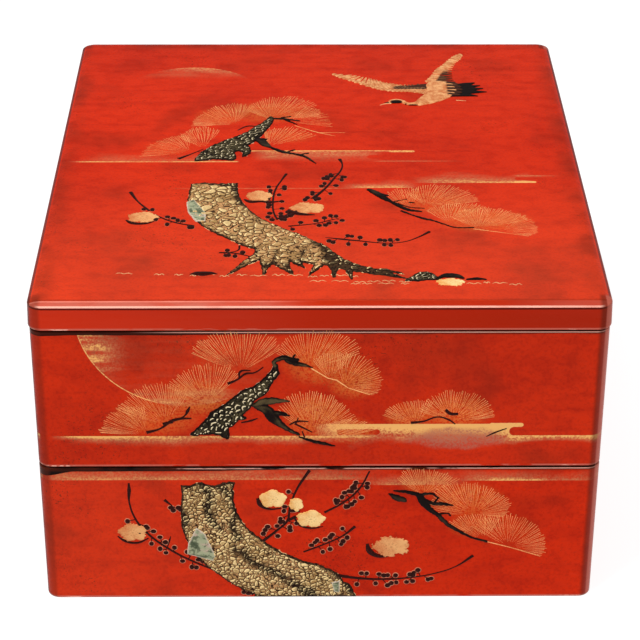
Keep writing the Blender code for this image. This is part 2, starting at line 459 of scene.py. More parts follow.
def red_lacquer(which, low_rim, high_rim, share, glint, gild):
    """A red finish for one shell, with wear along its lower rim, painted shade at its seam, foot and corners,
    painted highlights on its top rim and right corner, and gold that a function lays over the colour.
    """
    made, shader, place = new_finish("red_lacquer_" + which)
    red, deep_red = darker(RED, share), darker(DEEP_RED, share)
    coats = placed(aged, Place=place, Colour=red, Deep_Colour=deep_red, Stain=BROWN)
    x, y, z = split(place)
    # Painted light: the red is paler towards the front of the lid and the left of the lower tier, where the
    # key light falls, and a touch paler all over on the upper tier.
    if which == "lid":
        lit_paling = ramp(y, 10 * MM, -115 * MM, 0, 0.036)
    elif which == "upper_tier":
        lit_paling = 0.006
    else:
        lit_paling = ramp(x, 0, -100 * MM, 0, 0.02)
    colour = gild(place, mixed(lit_paling, coats["Colour"], LIT_PALE_RED))

    low_line = placed(wear_and_highlight_line, Place=place, Level=low_rim + 0.85 * MM, Reach=0.5 * MM, Amount=0.62)["Mask"]
    colour = mixed(product(low_line, 0.75), colour, BLUSH)
    chipped = placed(wear_and_highlight_line, Place=place, Level=low_rim + 0.65 * MM, Reach=0.34 * MM, Amount=0.24)["Mask"]
    colour = mixed(product(chipped, ramp(grain(place, 700, 2), 0.38, 0.52), 0.9), colour, ROSE)
    # Painted shade: brown over the lowest half millimetre of each shell, where the foot turns down to the
    # table.
    colour = mixed(ramp(z, low_rim + 0.5 * MM, low_rim + 0.2 * MM, 0, 0.9), colour, BROWN)

    # Painted shade: a black band down from the top rim, wider towards the left and at the lower tier's left
    # corner, where the seam under the piece above lies in shadow.
    below = minus(high_rim, z)
    corner_dip = ramp(x, -97 * MM, -HALF_X, 0, 2.4 * MM if which == "lower_tier" else 0.5 * MM)
    wide = ramp(x, -10 * MM, -60 * MM, 0.85 * MM, 1.45 * MM)
    seam_shade_reach = plus(plus(wide, corner_dip), product(grain(place, 120, 4), 0.5 * MM))
    colour = mixed(ramp(minus(below, seam_shade_reach), 0.12 * MM, -0.12 * MM), colour, SOOT)
    # Painted shade: a broken brown band below that black band, under the seam.
    under = ramp(below, 2.4 * MM, 0.8 * MM, 0, 0.5)
    colour = mixed(product(under, ramp(grain(place, 60, 3), 0.35, 0.6)), colour, BROWN)
    # Painted highlight: a broken rose line just under the top rim, where the rounded edge would catch the
    # light; none at the far left.
    shine = placed(wear_and_highlight_line, Place=place, Level=high_rim - 0.55 * MM, Reach=0.26 * MM, Amount=0.5 + glint / 3)
    colour = mixed(product(shine["Mask"], ramp(x, -76 * MM, -44 * MM), 0.45 + glint / 2.5), colour, ROSE)

    to_side = from_edge(x, HALF_X)
    to_front = from_edge(y, HALF_Y)
    near_corner = ramp(to_front, 9 * MM, 6 * MM)
    right = ramp(x, 0, 10 * MM)
    # Painted shade: mauve at the very edge of the rounded front corner on the left, where it turns away from
    # the light.
    turned = product(ramp(to_side, 1.0 * MM, 0.3 * MM), near_corner, minus(1.0, right), 0.8)
    colour = mixed(turned, colour, MAUVE)
    # Painted shade: brown over the rounded front corners, heavier on the right.
    corner_shade = product(ramp(to_side, 5.5 * MM, 3.6 * MM), near_corner, calc("MULTIPLY_ADD", right, 0.2, 0.45))
    colour = mixed(corner_shade, colour, BROWN)
    # Painted highlight: a blush band on the rounded front corner at the right, where the side light would
    # catch it.
    corner_highlight = product(ramp(to_side, 2.6 * MM, 1.9 * MM), near_corner, right, 0.6)
    feed(shader["Base Color"], mixed(corner_highlight, colour, BLUSH))
    feed(shader["Roughness"], coats["Roughness"])
    feed(shader["Normal"], bumped(coats["Height"], 0.15 * MM, 0.3))
    shader["Specular IOR Level"].default_value = 0.04
    rubbed = product(ramp(calc("SQRT", squares(to_side, to_front)), 4.4 * MM, 2.6 * MM), right)
    if which == "lid":
        sloped = ramp(z, shoulder_low - 0.3 * MM, shoulder_low)
        rubbed = product(sloped, ramp(z, LID_TOP - 0.1 * MM, LID_TOP - 0.3 * MM), right)
    feed(shader["Coat Weight"], product(rubbed, 0.14))
    shader["Coat Roughness"].default_value = 0.16
    return made


black, shader, place = new_finish("black_lacquer")
coats = placed(aged, Place=place, Colour=BLACK, Deep_Colour=WARM_BLACK, Stain=DUST)
feed(shader["Base Color"], coats["Colour"])
feed(shader["Roughness"], coats["Roughness"])
feed(shader["Normal"], bumped(coats["Height"], 0.15 * MM, 0.35))
shader["Specular IOR Level"].default_value = 0.4

# The gold mist and the suns. Gold powder is sifted on wet lacquer through a bamboo tube: each bar of mist
# has one crisp edge and fades away from it, with round-ended bays of bare red left open in it.
GOLD = (0.82, 0.42, 0.13, 1)
DULL_GOLD = (0.5, 0.26, 0.12, 1)
HAZE_GOLD = (0.8, 0.25, 0.045, 1)
WORN_SPOT, WORN_PINK = (54, 78, 20, 5.6), (0.42, 0.12, 0.075, 1)
PINK_LINE = (0.85, 0.27, 0.2, 1)
ARRIS_SHADE_BLACK = (0.06, 0.003, 0.001, 1)

bar, given, out = new_group(
    "bar of mist", ("Along", "Across", "From", "To", "Edge", "Depth", "Lead", "Tail", "Drift"), ("Mask",)
)
starts = ramp(minus(given["Along"], given["From"]), 0, given["Lead"])
ends = ramp(minus(given["To"], given["Along"]), -0.2 * MM, given["Tail"])
into = calc("MULTIPLY", minus(given["Across"], given["Edge"]), calc("SIGN", given["Depth"]))
ragged = calc("MULTIPLY_ADD", given["Drift"], 1.6, 0.2)
fade = calc("DIVIDE", product(into, ragged), calc("ABSOLUTE", given["Depth"]))
fade = calc("POWER", most(minus(1.0, fade), 0.0), 1.3)
feed(out["Mask"], product(starts, ends, fade, ramp(into, -0.15 * MM, 0.15 * MM)))

bay, given, out = new_group("bay in mist", ("Along", "Across", "From", "To", "Level", "Radius"), ("Mask",))
beyond = most(minus(given["From"], given["Along"]), minus(given["Along"], given["To"]))
away = calc("SQRT", squares(most(beyond, 0.0), minus(given["Across"], given["Level"])))
feed(out["Mask"], ramp(minus(away, given["Radius"]), 0.15 * MM, -0.15 * MM))

powder, given, out = new_group("gold powder", ("Place", "Mask"), ("Mask",))
dust = ramp(grain(given["Place"], 1300, 3), 0.34, 0.66)
drift = ramp(grain(given["Place"], 1, 3, (26, 300, 300)), 0.3, 0.7)
laid = calc("MULTIPLY_ADD", dust, 0.75, calc("MULTIPLY_ADD", drift, 0.6, 0.25))
laid = plus(laid, product(ramp(given["Mask"], 0.55, 1.0), 0.32))
feed(out["Mask"], calc("MINIMUM", product(given["Mask"], laid), 1.0))


def round_bar(along, across, start, end, level, radius):
    """A bar with round ends at a level, or a disc where it starts and ends at one place."""
    spots = dict(From=start * MM, To=end * MM, Level=level * MM, Radius=radius * MM)
    return placed(bay, Along=along, Across=across, **spots)["Mask"]


def mist(place, along, across, bars, bays, lobes):
    """The strongest of several bars of mist, less the bays left open in them, with their round ends."""
    drift = grain(place, 110, 4, (0.5, 1, 1))
    total = 0.0
    for start, end, edge, depth, strength, lead, tail in bars:
        spots = dict(From=start * MM, To=end * MM, Edge=edge * MM, Depth=depth * MM, Lead=lead * MM)
        form = placed(bar, Along=along, Across=across, Drift=drift, Tail=tail * MM, **spots)["Mask"]
        total = most(total, product(form, strength))
    for form in bays:
        total = product(total, minus(1.0, round_bar(along, across, *form)))
    for form in lobes:
        total = most(total, product(round_bar(along, across, *form), 0.85))
    return total


def gold_over(place, mask, colour):
    """Lays sifted gold over a colour, duller where it is thin."""
    sifted = placed(powder, Place=place, Mask=mask)["Mask"]
    return mixed(sifted, colour, mixed(ramp(sifted, 0.2, 0.9), DULL_GOLD, GOLD))


def oval(along, across, x, y, wide, tall):
    """Nought in the middle of an oval of these half sizes, one at its edge and more beyond."""
    aside = calc("DIVIDE", minus(along, x * MM), wide * MM)
    return squares(aside, calc("DIVIDE", minus(across, y * MM), tall * MM))


def haze_over(place, along, across, spots, colour):
    """Lays soft round clouds of thin orange gold, each (across, up, half width, half height, strength)."""
    total = 0.0
    for x, y, wide, tall, strength in spots:
        total = most(total, ramp(oval(along, across, x, y, wide, tall), 1.0, 0.05, 0.0, strength))
    return mixed(product(total, ramp(grain(place, 1300, 3), 0.3, 0.6)), colour, HAZE_GOLD)


def sun_disc(along, across, middle, radius):
    """A filled disc and the hairline round it."""
    spot = (middle[0], middle[0], middle[1])
    inside = round_bar(along, across, *spot, radius)
    return inside, minus(inside, round_bar(along, across, *spot, radius - 0.45))


LID_BARS = (
    (-109, -34, -4.2, 1.6, 1.2, 10, 1.5), (-106, -40, -4.0, 8, 0.36, 20, 10),
    (-34, 42, 7.4, -1.8, 1.1, 3, 1.5), (-30, 30, 7.0, -13, 0.6, 10, 12), (22, 66, -3.9, 1.5, 0.4, 6, 22),
    (-66, 24, -30.4, 1.1, 0.5, 20, 20), (8, 44, -29.6, 7, 0.6, 12, 10), (38, 92, -25.0, 9, 0.62, 12, 4),
    (44, 92.5, -25.0, 1.8, 0.58, 24, 1.2), (82, 106, -17.6, -3, 0.42, 4, 16),
)
LID_BAYS = ((23.5, 62, 0.9, 1.9), (85.5, 98, -21, 1.6))
LID_LOBES = ((32, 41.5, 6.5, 0.9), (84, 92, -24.2, 0.8))
LID_SUN, LID_SUN_RADIUS = (-57.5, 67.5), 32
UPPER_BARS = (
    (-108, -50, 79.3, -2.4, 1.2, 14, 36), (-102, 12, 79.3, -4.4, 0.75, 12, 12),
    (-4, 78.5, 84.7, -9.5, 1.5, 14, 0.8), (-10, 26, 79.0, -1.3, 1.0, 8, 8),
    (72, 117, 79.4, -3.4, 1.3, 3, 2),
)
UPPER_BAYS = ((8, 22.5, 81.0, 1.3), (77, 130, 81.3, 2.0))
UPPER_LOBES = ((68, 79.6, 84.2, 0.95),)
UPPER_SUN, UPPER_SUN_RADIUS = (-52.6, 135.5), 42.3
LOWER_BARS = (
    (-112, 34, 58.4, 7.5, 0.5, 8, 40), (-108, 6, 58.4, 0.9, 0.5, 14, 16), (14, 62, 55.8, 6.5, 0.5, 16, 16),
    (18, 54, 55.8, 0.7, 0.45, 10, 14), (50, 114, 57.8, 5.5, 0.45, 16, 12),
    (60, 101, 57.8, 3.0, 0.9, 12, 14),
)
LID_HAZE = (
    (47, -43, 19, 12, 0.22), (68, -60, 23, 12, 0.26), (57, -51, 15, 8, 0.22), (-22, 48, 22, 14, 0.26),
    (-43, 44, 14, 11, 0.22), (-64, 11, 15, 11, 0.05), (-12, 22, 13, 8, 0.16),
)
HAZE = {
    "upper": (
        (-64, 88, 20, 10, 0.3), (-48, 97, 16, 10, 0.42), (-34, 114, 17, 10, 0.06), (0, 113, 17, 12, 0.36),
        (13, 105, 12, 10, 0.4), (-2, 88, 14, 11, 0.45), (11, 82, 13, 7, 0.4), (36, 88, 12, 7, 0.36),
        (54, 90, 15, 9, 0.4),
    ),
    "lower": ((44, 56, 13, 7, 0.3), (60, 48, 17, 10, 0.3), (76, 33, 16, 10, 0.06), (62, 36, 12, 7, 0.2)),
}
SIDE_BARS = {
    "upper": ((-140, -52, 79.4, -3.4, 1.1, 5, 20), (-70, 60, 83.6, -4.5, 0.8, 8, 8)),
    "lower": ((-140, 24, 58.4, 6, 0.7, 5, 30),),
}
SIDE_BAYS = {"upper": ((-60, -38, 80.2, 1.5),), "lower": ()}


def gild_lid(place, colour):
    """Mist across the lid and a faint sun behind it, painted shade on the skirt, the front shoulder and the
    outer edges, and a painted highlight line along the front.
    """
    x, y, z = split(place)
    on_top = ramp(z, LID_TOP - 0.5 * MM, LID_TOP - 0.3 * MM)
    disc, hairline = sun_disc(x, y, LID_SUN, LID_SUN_RADIUS)
    swept = ramp(grain(place, 1, 4, (34, 200, 1)), 0.34, 0.62, 0.2, 1.0)
    swept = product(swept, ramp(x, -86 * MM, -46 * MM, 0.45, 1.0))
    glow = product(disc, ramp(y, (LID_SUN[1] + 17) * MM, (LID_SUN[1] + 31) * MM), swept, 0.5)
    arc = product(hairline, ramp(y, (LID_SUN[1] + 20) * MM, (LID_SUN[1] + 28) * MM), swept, 0.7)
    mask = most(mist(place, x, y, LID_BARS, LID_BAYS, LID_LOBES), most(glow, arc))
    colour = haze_over(place, x, y, LID_HAZE, colour)
    colour = gold_over(place, product(mask, on_top), colour)

    edge_side = from_edge(x, HALF_X)
    near_edge = calc("MINIMUM", edge_side, minus(HALF_Y, y))
    soiled_edge = product(ramp(near_edge, 12 * MM, 3 * MM), ramp(grain(place, 60, 4), 0.3, 0.7))
    colour = mixed(product(soiled_edge, on_top, 0.45), colour, BROWN)
    to_front = plus(y, HALF_Y)
    # Painted shade: the sloped front shoulder darker, more so towards the right.
    slope = ramp(to_front, 3.3 * MM, 2.9 * MM)
    colour = mixed(product(slope, ramp(x, -40 * MM, 10 * MM, 0.2, 0.75)), colour, darker(RED, 0.6))
    # Painted highlight: blush over the front shoulder at the left and the right, broken by streaks, with a
    # pink line along its middle at the left.
    slope_highlight_grain = ramp(grain(place, 1, 4, (45, 30, 500)), 0.3, 0.6, 0.45, 1.0)
    along_left = ramp(x, 2 * MM, -34 * MM)
    along_right = ramp(x, 68 * MM, 100 * MM, 0, 0.35)
    colour = mixed(product(slope, slope_highlight_grain, most(along_left, along_right), 0.9), colour, BLUSH)
    inner = ramp(apart(to_front, 2.6 * MM), 0.42 * MM, 0.2 * MM)
    colour = mixed(product(inner, along_left, slope_highlight_grain, 0.75), colour, PINK_LINE)
    before = ramp(apart(to_front, 3.7 * MM), 0.7 * MM, 0.3 * MM)
    colour = mixed(product(before, 0.3), colour, BROWN)

    # Painted light and shade on the skirt below the shoulder: lighter at the left and darker to the right,
    # deeper red near its top, with darker streaks.
    lit = mixed(ramp(x, -112 * MM, 20 * MM), darker(RED, 0.92), darker(RED, 0.64))
    lit = mixed(ramp(x, 20 * MM, 105 * MM, 0, 0.8), lit, darker(RED, 0.54))
    lit = mixed(ramp(z, shoulder_low - 5 * MM, shoulder_low - 1 * MM, 0, 0.3), lit, DEEP_RED)
    lit = mixed(product(grain(place, 1, 3, (12, 60, 200)), 0.35), lit, darker(DEEP_RED, 0.8))
    skirt_shade = ramp(z, shoulder_low - 0.2 * MM, shoulder_low - 0.6 * MM)
    colour = mixed(product(skirt_shade, 0.94), colour, lit)
    in_front = ramp(y, -HALF_Y + 5 * MM, -HALF_Y + 4 * MM)
    # Painted shade: a dark line along the front of the skirt, just below the highlight on the arris.
    arris_shade_line = ramp(apart(z, shoulder_low - 0.75 * MM), 0.5 * MM, 0.3 * MM)
    colour = mixed(product(arris_shade_line, in_front, 0.9), colour, ARRIS_SHADE_BLACK)
    # Painted highlight: a broken rose line along the front arris, fading towards the corners.
    line = ramp(apart(z, shoulder_low - 0.02 * MM), 0.36 * MM, 0.18 * MM)
    line = product(line, ramp(grain(place, 40, 3), 0.3, 0.5, 0.6, 1.0), ramp(edge_side, 2.6 * MM, 4.4 * MM))
    colour = mixed(product(line, in_front, 0.9), colour, ROSE)
    # Painted shade: mauve along the outer edge of the shoulder at the sides and the back, where it turns away
    # from the light.
    side_edge_shade = ramp(z, shoulder_low - 0.9 * MM, shoulder_low - 0.6 * MM)
    return mixed(product(ramp(near_edge, 1.1 * MM, 0.8 * MM), side_edge_shade, 0.85), colour, MAUVE)


def gild_tier(which, bars, bays, lobes):
    """Makes the function that lays mist round one tier, with the sun's lower half on the upper one."""

    def gild(place, colour):
        x, y, z = split(place)
        front = ramp(minus(from_edge(x, HALF_X), plus(y, HALF_Y)), -0.1 * MM, 0.1 * MM)
        mask = mist(place, x, z, bars, bays, lobes)
        if which == "upper":
            disc, hairline = sun_disc(x, z, UPPER_SUN, UPPER_SUN_RADIUS)
            left = ramp(x, -73 * MM, -90 * MM, 0.06, 1.0)
            foot = product(ramp(z, 104 * MM, 95 * MM), ramp(x, -84 * MM, -66 * MM), 0.72)
            swept = ramp(grain(place, 1, 4, (34, 1, 300)), 0.4, 0.66, 0.16, 1.0)
            mask = most(mask, product(disc, most(left, foot), swept, 0.9))
            mask = most(mask, product(hairline, ramp(x, -58 * MM, -66 * MM), 0.85))
        sides = mist(place, y, z, SIDE_BARS[which], SIDE_BAYS[which], ())
        mask = plus(product(mask, front), product(sides, minus(1.0, front)))
        colour = mixed(front, colour, haze_over(place, x, z, HAZE[which], colour))
        colour = gold_over(place, mask, colour)
        if which == "upper":
            away = calc("MULTIPLY_ADD", grain(place, 150, 3), 1.2, minus(oval(x, z, *WORN_SPOT), 0.6))
            stipple = calc("MULTIPLY_ADD", ramp(grain(place, 1300, 2), 0.4, 0.6), 0.5, 0.35)
            colour = mixed(product(ramp(away, 1.2, 0.5), stipple, front), colour, WORN_PINK)
        return colour

    return gild


gild_lower = gild_tier("lower", LOWER_BARS, (), ())
gild_upper = gild_tier("upper", UPPER_BARS, UPPER_BAYS, UPPER_LOBES)
# Painted shade: each tier's red is a darker copy of the lid's, cut to the share given here.
for piece, node_name, low_rim, high_rim, share, glint, gild in (
    (lower_tier, "lower_tier", LOWER_LOW[2], LEDGE_1, 0.99, 0.3, gild_lower),
    (upper_tier, "upper_tier", UPPER_LOW[2], LEDGE_2, 0.93, 1.0, gild_upper),
    (lid, "lid", LID_LOW[2], LID_TOP + 0.01, 1.0, 0.0, gild_lid),
):
    piece.data.materials[0] = red_lacquer(node_name, low_rim, high_rim, share, glint, gild)
    piece.data.materials[1] = black
    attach(piece, "root")
    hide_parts(node_name)

# The trunks in raised lacquer. Charcoal and clay are built up on the red ground, carved into bark plates
# with deep cracks between, then dusted with gold and picked out in black; the roots taper into the ground.
def surface_of(name):
    """Which shell a painted piece lies on, told by how its name begins. The crane is on the lid."""
    return next((shell for shell in ("upper_tier", "lower_tier") if name.startswith(shell)), "lid")


def lay(name):
    """Carries a drawing (across, up, out) on to the lid or the front of the tiers."""
    if surface_of(name) == "lid":
        return Matrix.Translation((0, 0, LID_TOP))
    turn = Matrix(((1, 0, 0, 0), (0, 0, -1, 0), (0, 1, 0, 0), (0, 0, 0, 1)))
    return Matrix.Translation((0, -HALF_Y, 0)) @ turn


def dress(piece, finish):
    """Gives a piece its finish and its body."""
    slot = surface_of(piece.name) + "_lacquer"
    piece.data.materials.clear()
    piece.data.materials.append(finish)
    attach(piece, "root")


def eased(points, steps=6):
    """A smooth line of (across, up, half width) through points in millimetres, given back in metres."""
    rows = [np.array(point, float) * MM for point in points]
    rows = [2 * rows[0] - rows[1]] + rows + [2 * rows[-1] - rows[-2]]
    line = []
    for before, a, b, after in zip(rows, rows[1:], rows[2:], rows[3:]):
        for step in range(steps):
            t = step / steps
            bend = (2 * before - 5 * a + 4 * b - after) * t * t + (3 * a - before - 3 * b + after) * t ** 3
            line.append(a + 0.5 * ((b - before) * t + bend))
    line.append(rows[-2])
    return line


def inside_limbs(across, up, limbs):
    """How deep each point lies inside a set of tapering limbs."""
    deep = np.full(across.shape, -1.0)
    for limb in limbs:
        line = eased(limb)
        for (x0, y0, r0), (x1, y1, r1) in zip(line, line[1:]):
            run, rise = x1 - x0, y1 - y0
            share = ((across - x0) * run + (up - y0) * rise) / (run * run + rise * rise + 1e-12)
            share = np.clip(share, 0, 1)
            gap = np.hypot(across - x0 - share * run, up - y0 - share * rise)
            deep = np.maximum(deep, r0 + (r1 - r0) * share - gap)
    return deep


def wave(across, up, size, seed):
    """A soft noise from -1 to 1 over a drawing."""
    return np.array([noise.noise((a / size, u / size, seed)) for a, u in zip(across, up)])


def plates(across, up, pitch, seed):
    """Splits a drawing into irregular plates: the distance to the crack, and a chance value for each."""
    draw = np.random.default_rng(seed)
    table = draw.random((3, 256, 256))
    column, row = np.floor(across / pitch).astype(int), np.floor(up / pitch).astype(int)
    first, second = np.full(across.shape, 9.0), np.full(across.shape, 9.0)
    chance = np.zeros(across.shape)
    for i in (-1, 0, 1):
        for j in (-1, 0, 1):
            c, r = (column + i) % 256, (row + j) % 256
            aside = column + i + table[0, c, r] - across / pitch
            gap = np.hypot(aside, row + j + table[1, c, r] - up / pitch)
            closer = gap < first
            second = np.where(closer, first, np.minimum(second, gap))
            chance = np.where(closer, table[2, c, r], chance)
            first = np.where(closer, gap, first)
    return (second - first) * pitch, chance


SUNK = 0.2 * MM


def raised(name, area, pitch, outline, relief, finish):
    """A raised form: a fine grid trimmed to an outline, lifted by a relief and closed a little beneath."""
    low_x, low_y, high_x, high_y = (side * MM for side in area)
    bpy.ops.object.select_all(action="DESELECT")
    counts = round((high_x - low_x) / pitch), round((high_y - low_y) / pitch)
    bpy.ops.mesh.primitive_grid_add(x_subdivisions=counts[0], y_subdivisions=counts[1], size=1)
    made = bpy.context.object
    made.name = name
    mesh = made.data
    spots = np.empty(len(mesh.vertices) * 3)
    mesh.vertices.foreach_get("co", spots)
    spots = spots.reshape(-1, 3)
    across = (spots[:, 0] + 0.5) * (high_x - low_x) + low_x
    up = (spots[:, 1] + 0.5) * (high_y - low_y) + low_y
    deep = outline(across, up)
    step = pitch / 4
    slope_x, slope_y = (outline(across + step, up) - deep) / step, (outline(across, up + step) - deep) / step
    steep = np.maximum(slope_x ** 2 + slope_y ** 2, 0.3)
    edge = (deep < 0) & (deep > -1.5 * pitch)
    across = np.where(edge, across - deep * slope_x / steep, across)
    up = np.where(edge, up - deep * slope_y / steep, up)
    height, paint = relief(across, up, np.maximum(deep, 0))
    spots[:, 0], spots[:, 1], spots[:, 2] = across, up, height
    mesh.vertices.foreach_set("co", spots.ravel())
    colours = mesh.attributes.new("paint", "FLOAT_COLOR", "POINT")
    blank = [np.zeros(len(deep))] * (4 - len(paint))
    colours.data.foreach_set("color", np.column_stack([*paint, *blank]).ravel())
    bpy.ops.object.mode_set(mode="EDIT")
    bpy.ops.mesh.select_mode(type="FACE")
    bpy.ops.mesh.select_all(action="DESELECT")
    form = bmesh.from_edit_mesh(mesh)
    form.verts.ensure_lookup_table()
    for face in form.faces:
        face.select_set(all(deep[corner.index] < 0 for corner in face.verts))
    bmesh.update_edit_mesh(mesh)
    bpy.ops.mesh.delete(type="FACE")
    bpy.ops.mesh.select_all(action="SELECT")
    bpy.ops.mesh.region_to_loop()
    bpy.ops.mesh.extrude_region_move()
    bpy.ops.transform.resize(value=(1, 1, 0), center_override=(0, 0, -SUNK))
    bpy.ops.mesh.fill()
    bpy.ops.mesh.select_all(action="SELECT")
    bpy.ops.mesh.normals_make_consistent(inside=False)
    bpy.ops.object.mode_set(mode="OBJECT")
    mesh.transform(lay(name))
    bpy.ops.object.shade_smooth_by_angle(angle=math.radians(50))
    dress(made, finish)


def around(limbs, spare):
    """The area that a set of limbs covers, in millimetres."""
    points = [point for limb in limbs for point in limb]
    low = [min(point[i] - point[2] for point in points) - spare for i in (0, 1)]
    high = [max(point[i] + point[2] for point in points) + spare for i in (0, 1)]
    return low + high


def trunk(name, limbs, dark_limbs, pitch, plate, rise, cuts, seed, finish, lobes=0.0, gaps=0.3):
    """A trunk of bark pebbles, cut off at two heights with a lobed top, and with darker stretches."""
    low_cut, high_cut = cuts
    area = around(limbs, 1)
    area[1], area[3] = max(area[1], low_cut - 0.5), min(area[3], high_cut + 2)

    def outline(across, up):
        rough = wave(across, up, 1.6 * MM, seed) * 0.45 * MM + wave(across, up, 5 * MM, seed) * 0.5 * MM
        deep = inside_limbs(across, up, limbs) + rough
        cut = high_cut * MM + rough * 1.5 + lobes * MM * np.cos((across / MM + 48) * math.tau / 11.5)
        return np.minimum(deep, np.minimum(up - low_cut * MM, cut - up))

    def pebbles(across, up):
        bend = wave(across, up, plate * 1.4, seed + 1) * 0.5 * plate
        sway = wave(across, up, plate * 1.4, seed + 2) * 0.5 * plate
        crack, chance = plates(across + bend, (up + sway) * 1.15, plate, seed)
        body = np.clip((crack / plate - 0.3 * gaps - gaps * (1 - chance) ** 2) / 0.3, 0, 1)
        return body * body * (3 - 2 * body), chance

    def relief(across, up, deep):
        body, chance = pebbles(across, up)
        # Painted highlight: how far each pebble rises towards the upper left, kept as the fourth mask so that
        # the finish lights those edges; pale rims get it strongly.
        beside = pebbles(across - 0.11 * plate, up + 0.11 * plate)[0]
        shoulder = 1 - np.clip(deep / (1.6 * MM), 0, 1)
        crown = np.sqrt(1 - shoulder * shoulder)
        height = rise * crown * (0.45 + 0.55 * body * (0.6 + 0.4 * chance))
        upper_left_highlight = np.clip(0.5 + (body - beside) * 0.8, 0, 1)
        dark = inside_limbs(across, up, dark_limbs) + wave(across, up, 2.6 * MM, seed + 3) * 1.8 * MM
        dark = 0.95 * np.clip(dark / (2.4 * MM) + 0.55, 0, 1)
        black_rim = 1 - np.clip((deep - 0.55 * MM) / (0.5 * MM), 0, 1)
        body = body * (1 - black_rim)
        dark = np.maximum(dark, black_rim)
        pale_rim = (deep < 0.02 * MM) & (wave(across, up, 3 * MM, seed + 6) > 0.22)
        return height, (
            np.where(pale_rim, 1.0, chance), np.where(pale_rim, 1.0, body),
            np.where(pale_rim, 0.0, dark), np.where(pale_rim, 0.9, upper_left_highlight),
        )

    raised(name, area, pitch, outline, relief, finish)


def painted(place):
    """The four masks that a raised form carries at its corners."""
    paint = node(place.id_data, "Attribute", attribute_name="paint")
    parts = node(place.id_data, "SeparateColor")
    feed(parts.inputs[0], paint.outputs["Color"])
    return [*parts.outputs, paint.outputs["Alpha"]]


def dusted(shader, colour, dust, uneven, rough, relief, sheen, metal=0.0):
    """Sets a finish: its colour, a roughness and a relief (depth, strength) from a dust, and its shine."""
    feed(shader["Base Color"], colour)
    feed(shader["Roughness"], calc("MULTIPLY_ADD", dust, uneven, rough))
    feed(shader["Metallic"], metal)
    shader["Specular IOR Level"].default_value = sheen
    if relief:
        feed(shader["Normal"], bumped(dust, relief[0] * MM, relief[1]))


def bark_finish(name, crack_colour, ground_colour, low_colour, high_colour, tint, weights, spread):
    """Bark: pebbles of dull to bright gold with painted highlights on their rims and on the edges that face
    the upper left, on a ground crossed by fine dark lines.
    """
    made, shader, place = new_finish(name)
    chance, body, dark, upper_left_highlight = painted(place)
    dust = grain(place, 2600, 2)
    patch = grain(place, 75, 3)
    edge = product(ramp(body, 0.3, 0.5), ramp(body, 1.0, 0.7))
    # Painted highlights: the rims of the pebbles and the edges facing the upper left are lifted towards the
    # bright gold.
    bright = plus(product(chance, weights[0]), product(edge, weights[1]))
    for part, weight in ((upper_left_highlight, weights[2]), (dust, 0.7), (patch, 0.7)):
        bright = calc("MULTIPLY_ADD", minus(part, 0.5), weight, bright)
    lit = ramp(bright, spread[0], spread[1])
    tinted = product(ramp(grain(place, 48, 2), 0.46, 0.62), minus(1.0, lit), 0.8)
    plate = mixed(tinted, mixed(lit, low_colour, high_colour), tint)
    winding = calc("PINGPONG", product(grain(place, 330, 1), 9.0), 1.0)
    ground = mixed(ramp(patch, 0.4, 0.6), ground_colour, tint)
    ground = mixed(ramp(winding, 0.3, 0.12), ground, crack_colour)
    colour = mixed(ramp(body, 0.3, 0.5), ground, plate)
    ring = product(ramp(body, 0.02, 0.14), ramp(body, 0.56, 0.36))
    colour = mixed(ring, colour, crack_colour)
    # Painted highlights: bright flecks kept on the pebbles where the bark is darkened.
    flecks = product(ramp(bright, spread[0] + 0.35, spread[1]), ramp(body, 0.4, 0.7))
    dim = mixed(ramp(body, 0.4, 0.6), SOOT, (0.03, 0.023, 0.012, 1))
    colour = mixed(product(dark, 0.95), colour, mixed(product(flecks, 0.8), dim, high_colour))
    dusted(shader, colour, dust, 0.25, 0.45, (0.12, 0.5), 0.05, product(ramp(body, 0.3, 0.9), 0.1))
    return made


GOLD_BARK = bark_finish(
    "gold_bark", (0.035, 0.014, 0.006, 1), (0.34, 0.19, 0.07, 1), (0.36, 0.21, 0.075, 1),
    (0.88, 0.65, 0.31, 1), (0.52, 0.27, 0.11, 1), (0.6, 0.14, 1.1), (0.14, 0.92),
)
BLACK_BARK = bark_finish(
    "black_bark", (0.005, 0.003, 0.002, 1), (0.01, 0.007, 0.004, 1), (0.022, 0.017, 0.009, 1),
    (0.72, 0.6, 0.38, 1), (0.085, 0.066, 0.03, 1), (0.4, 0.05, 1.8), (0.42, 0.74),
)

LID_PLUM = [
    [(-44, -22, 10), (-44, -33, 10.3), (-43, -45, 11.6), (-38.5, -57, 12), (-31, -66.5, 11.2),
     (-23, -74, 11), (-14, -81, 10.5), (-5, -87.5, 9), (2, -93, 6)],
    [(-20, -84, 6), (-24, -91, 3), (-30, -98, 1.7), (-36, -106.5, 0.4)],
    [(-20, -86, 5), (-21, -96, 2.6), (-22, -106, 0.5)],
    [(-14, -86, 6), (-15, -97, 3.2), (-10.5, -106, 0.5)], [(-9, -88, 5), (-9.5, -95, 2), (-6, -101, 0.5)],
    [(0, -90, 5), (0, -97, 2.4), (-4, -107, 0.5)],
    [(3, -92, 5), (8, -97.5, 4.2), (14, -101, 3.2), (20, -103.6, 2.5), (27, -106.5, 1.6), (34, -110, 0.4)],
    [(19, -102.5, 1.6), (27, -103.6, 1.0), (33, -106.3, 0.4)],
    [(5, -96, 3), (6, -103, 1.6), (5.5, -109, 0.4)], [(11, -100, 2), (12, -106, 1), (12.5, -110, 0.3)],
]
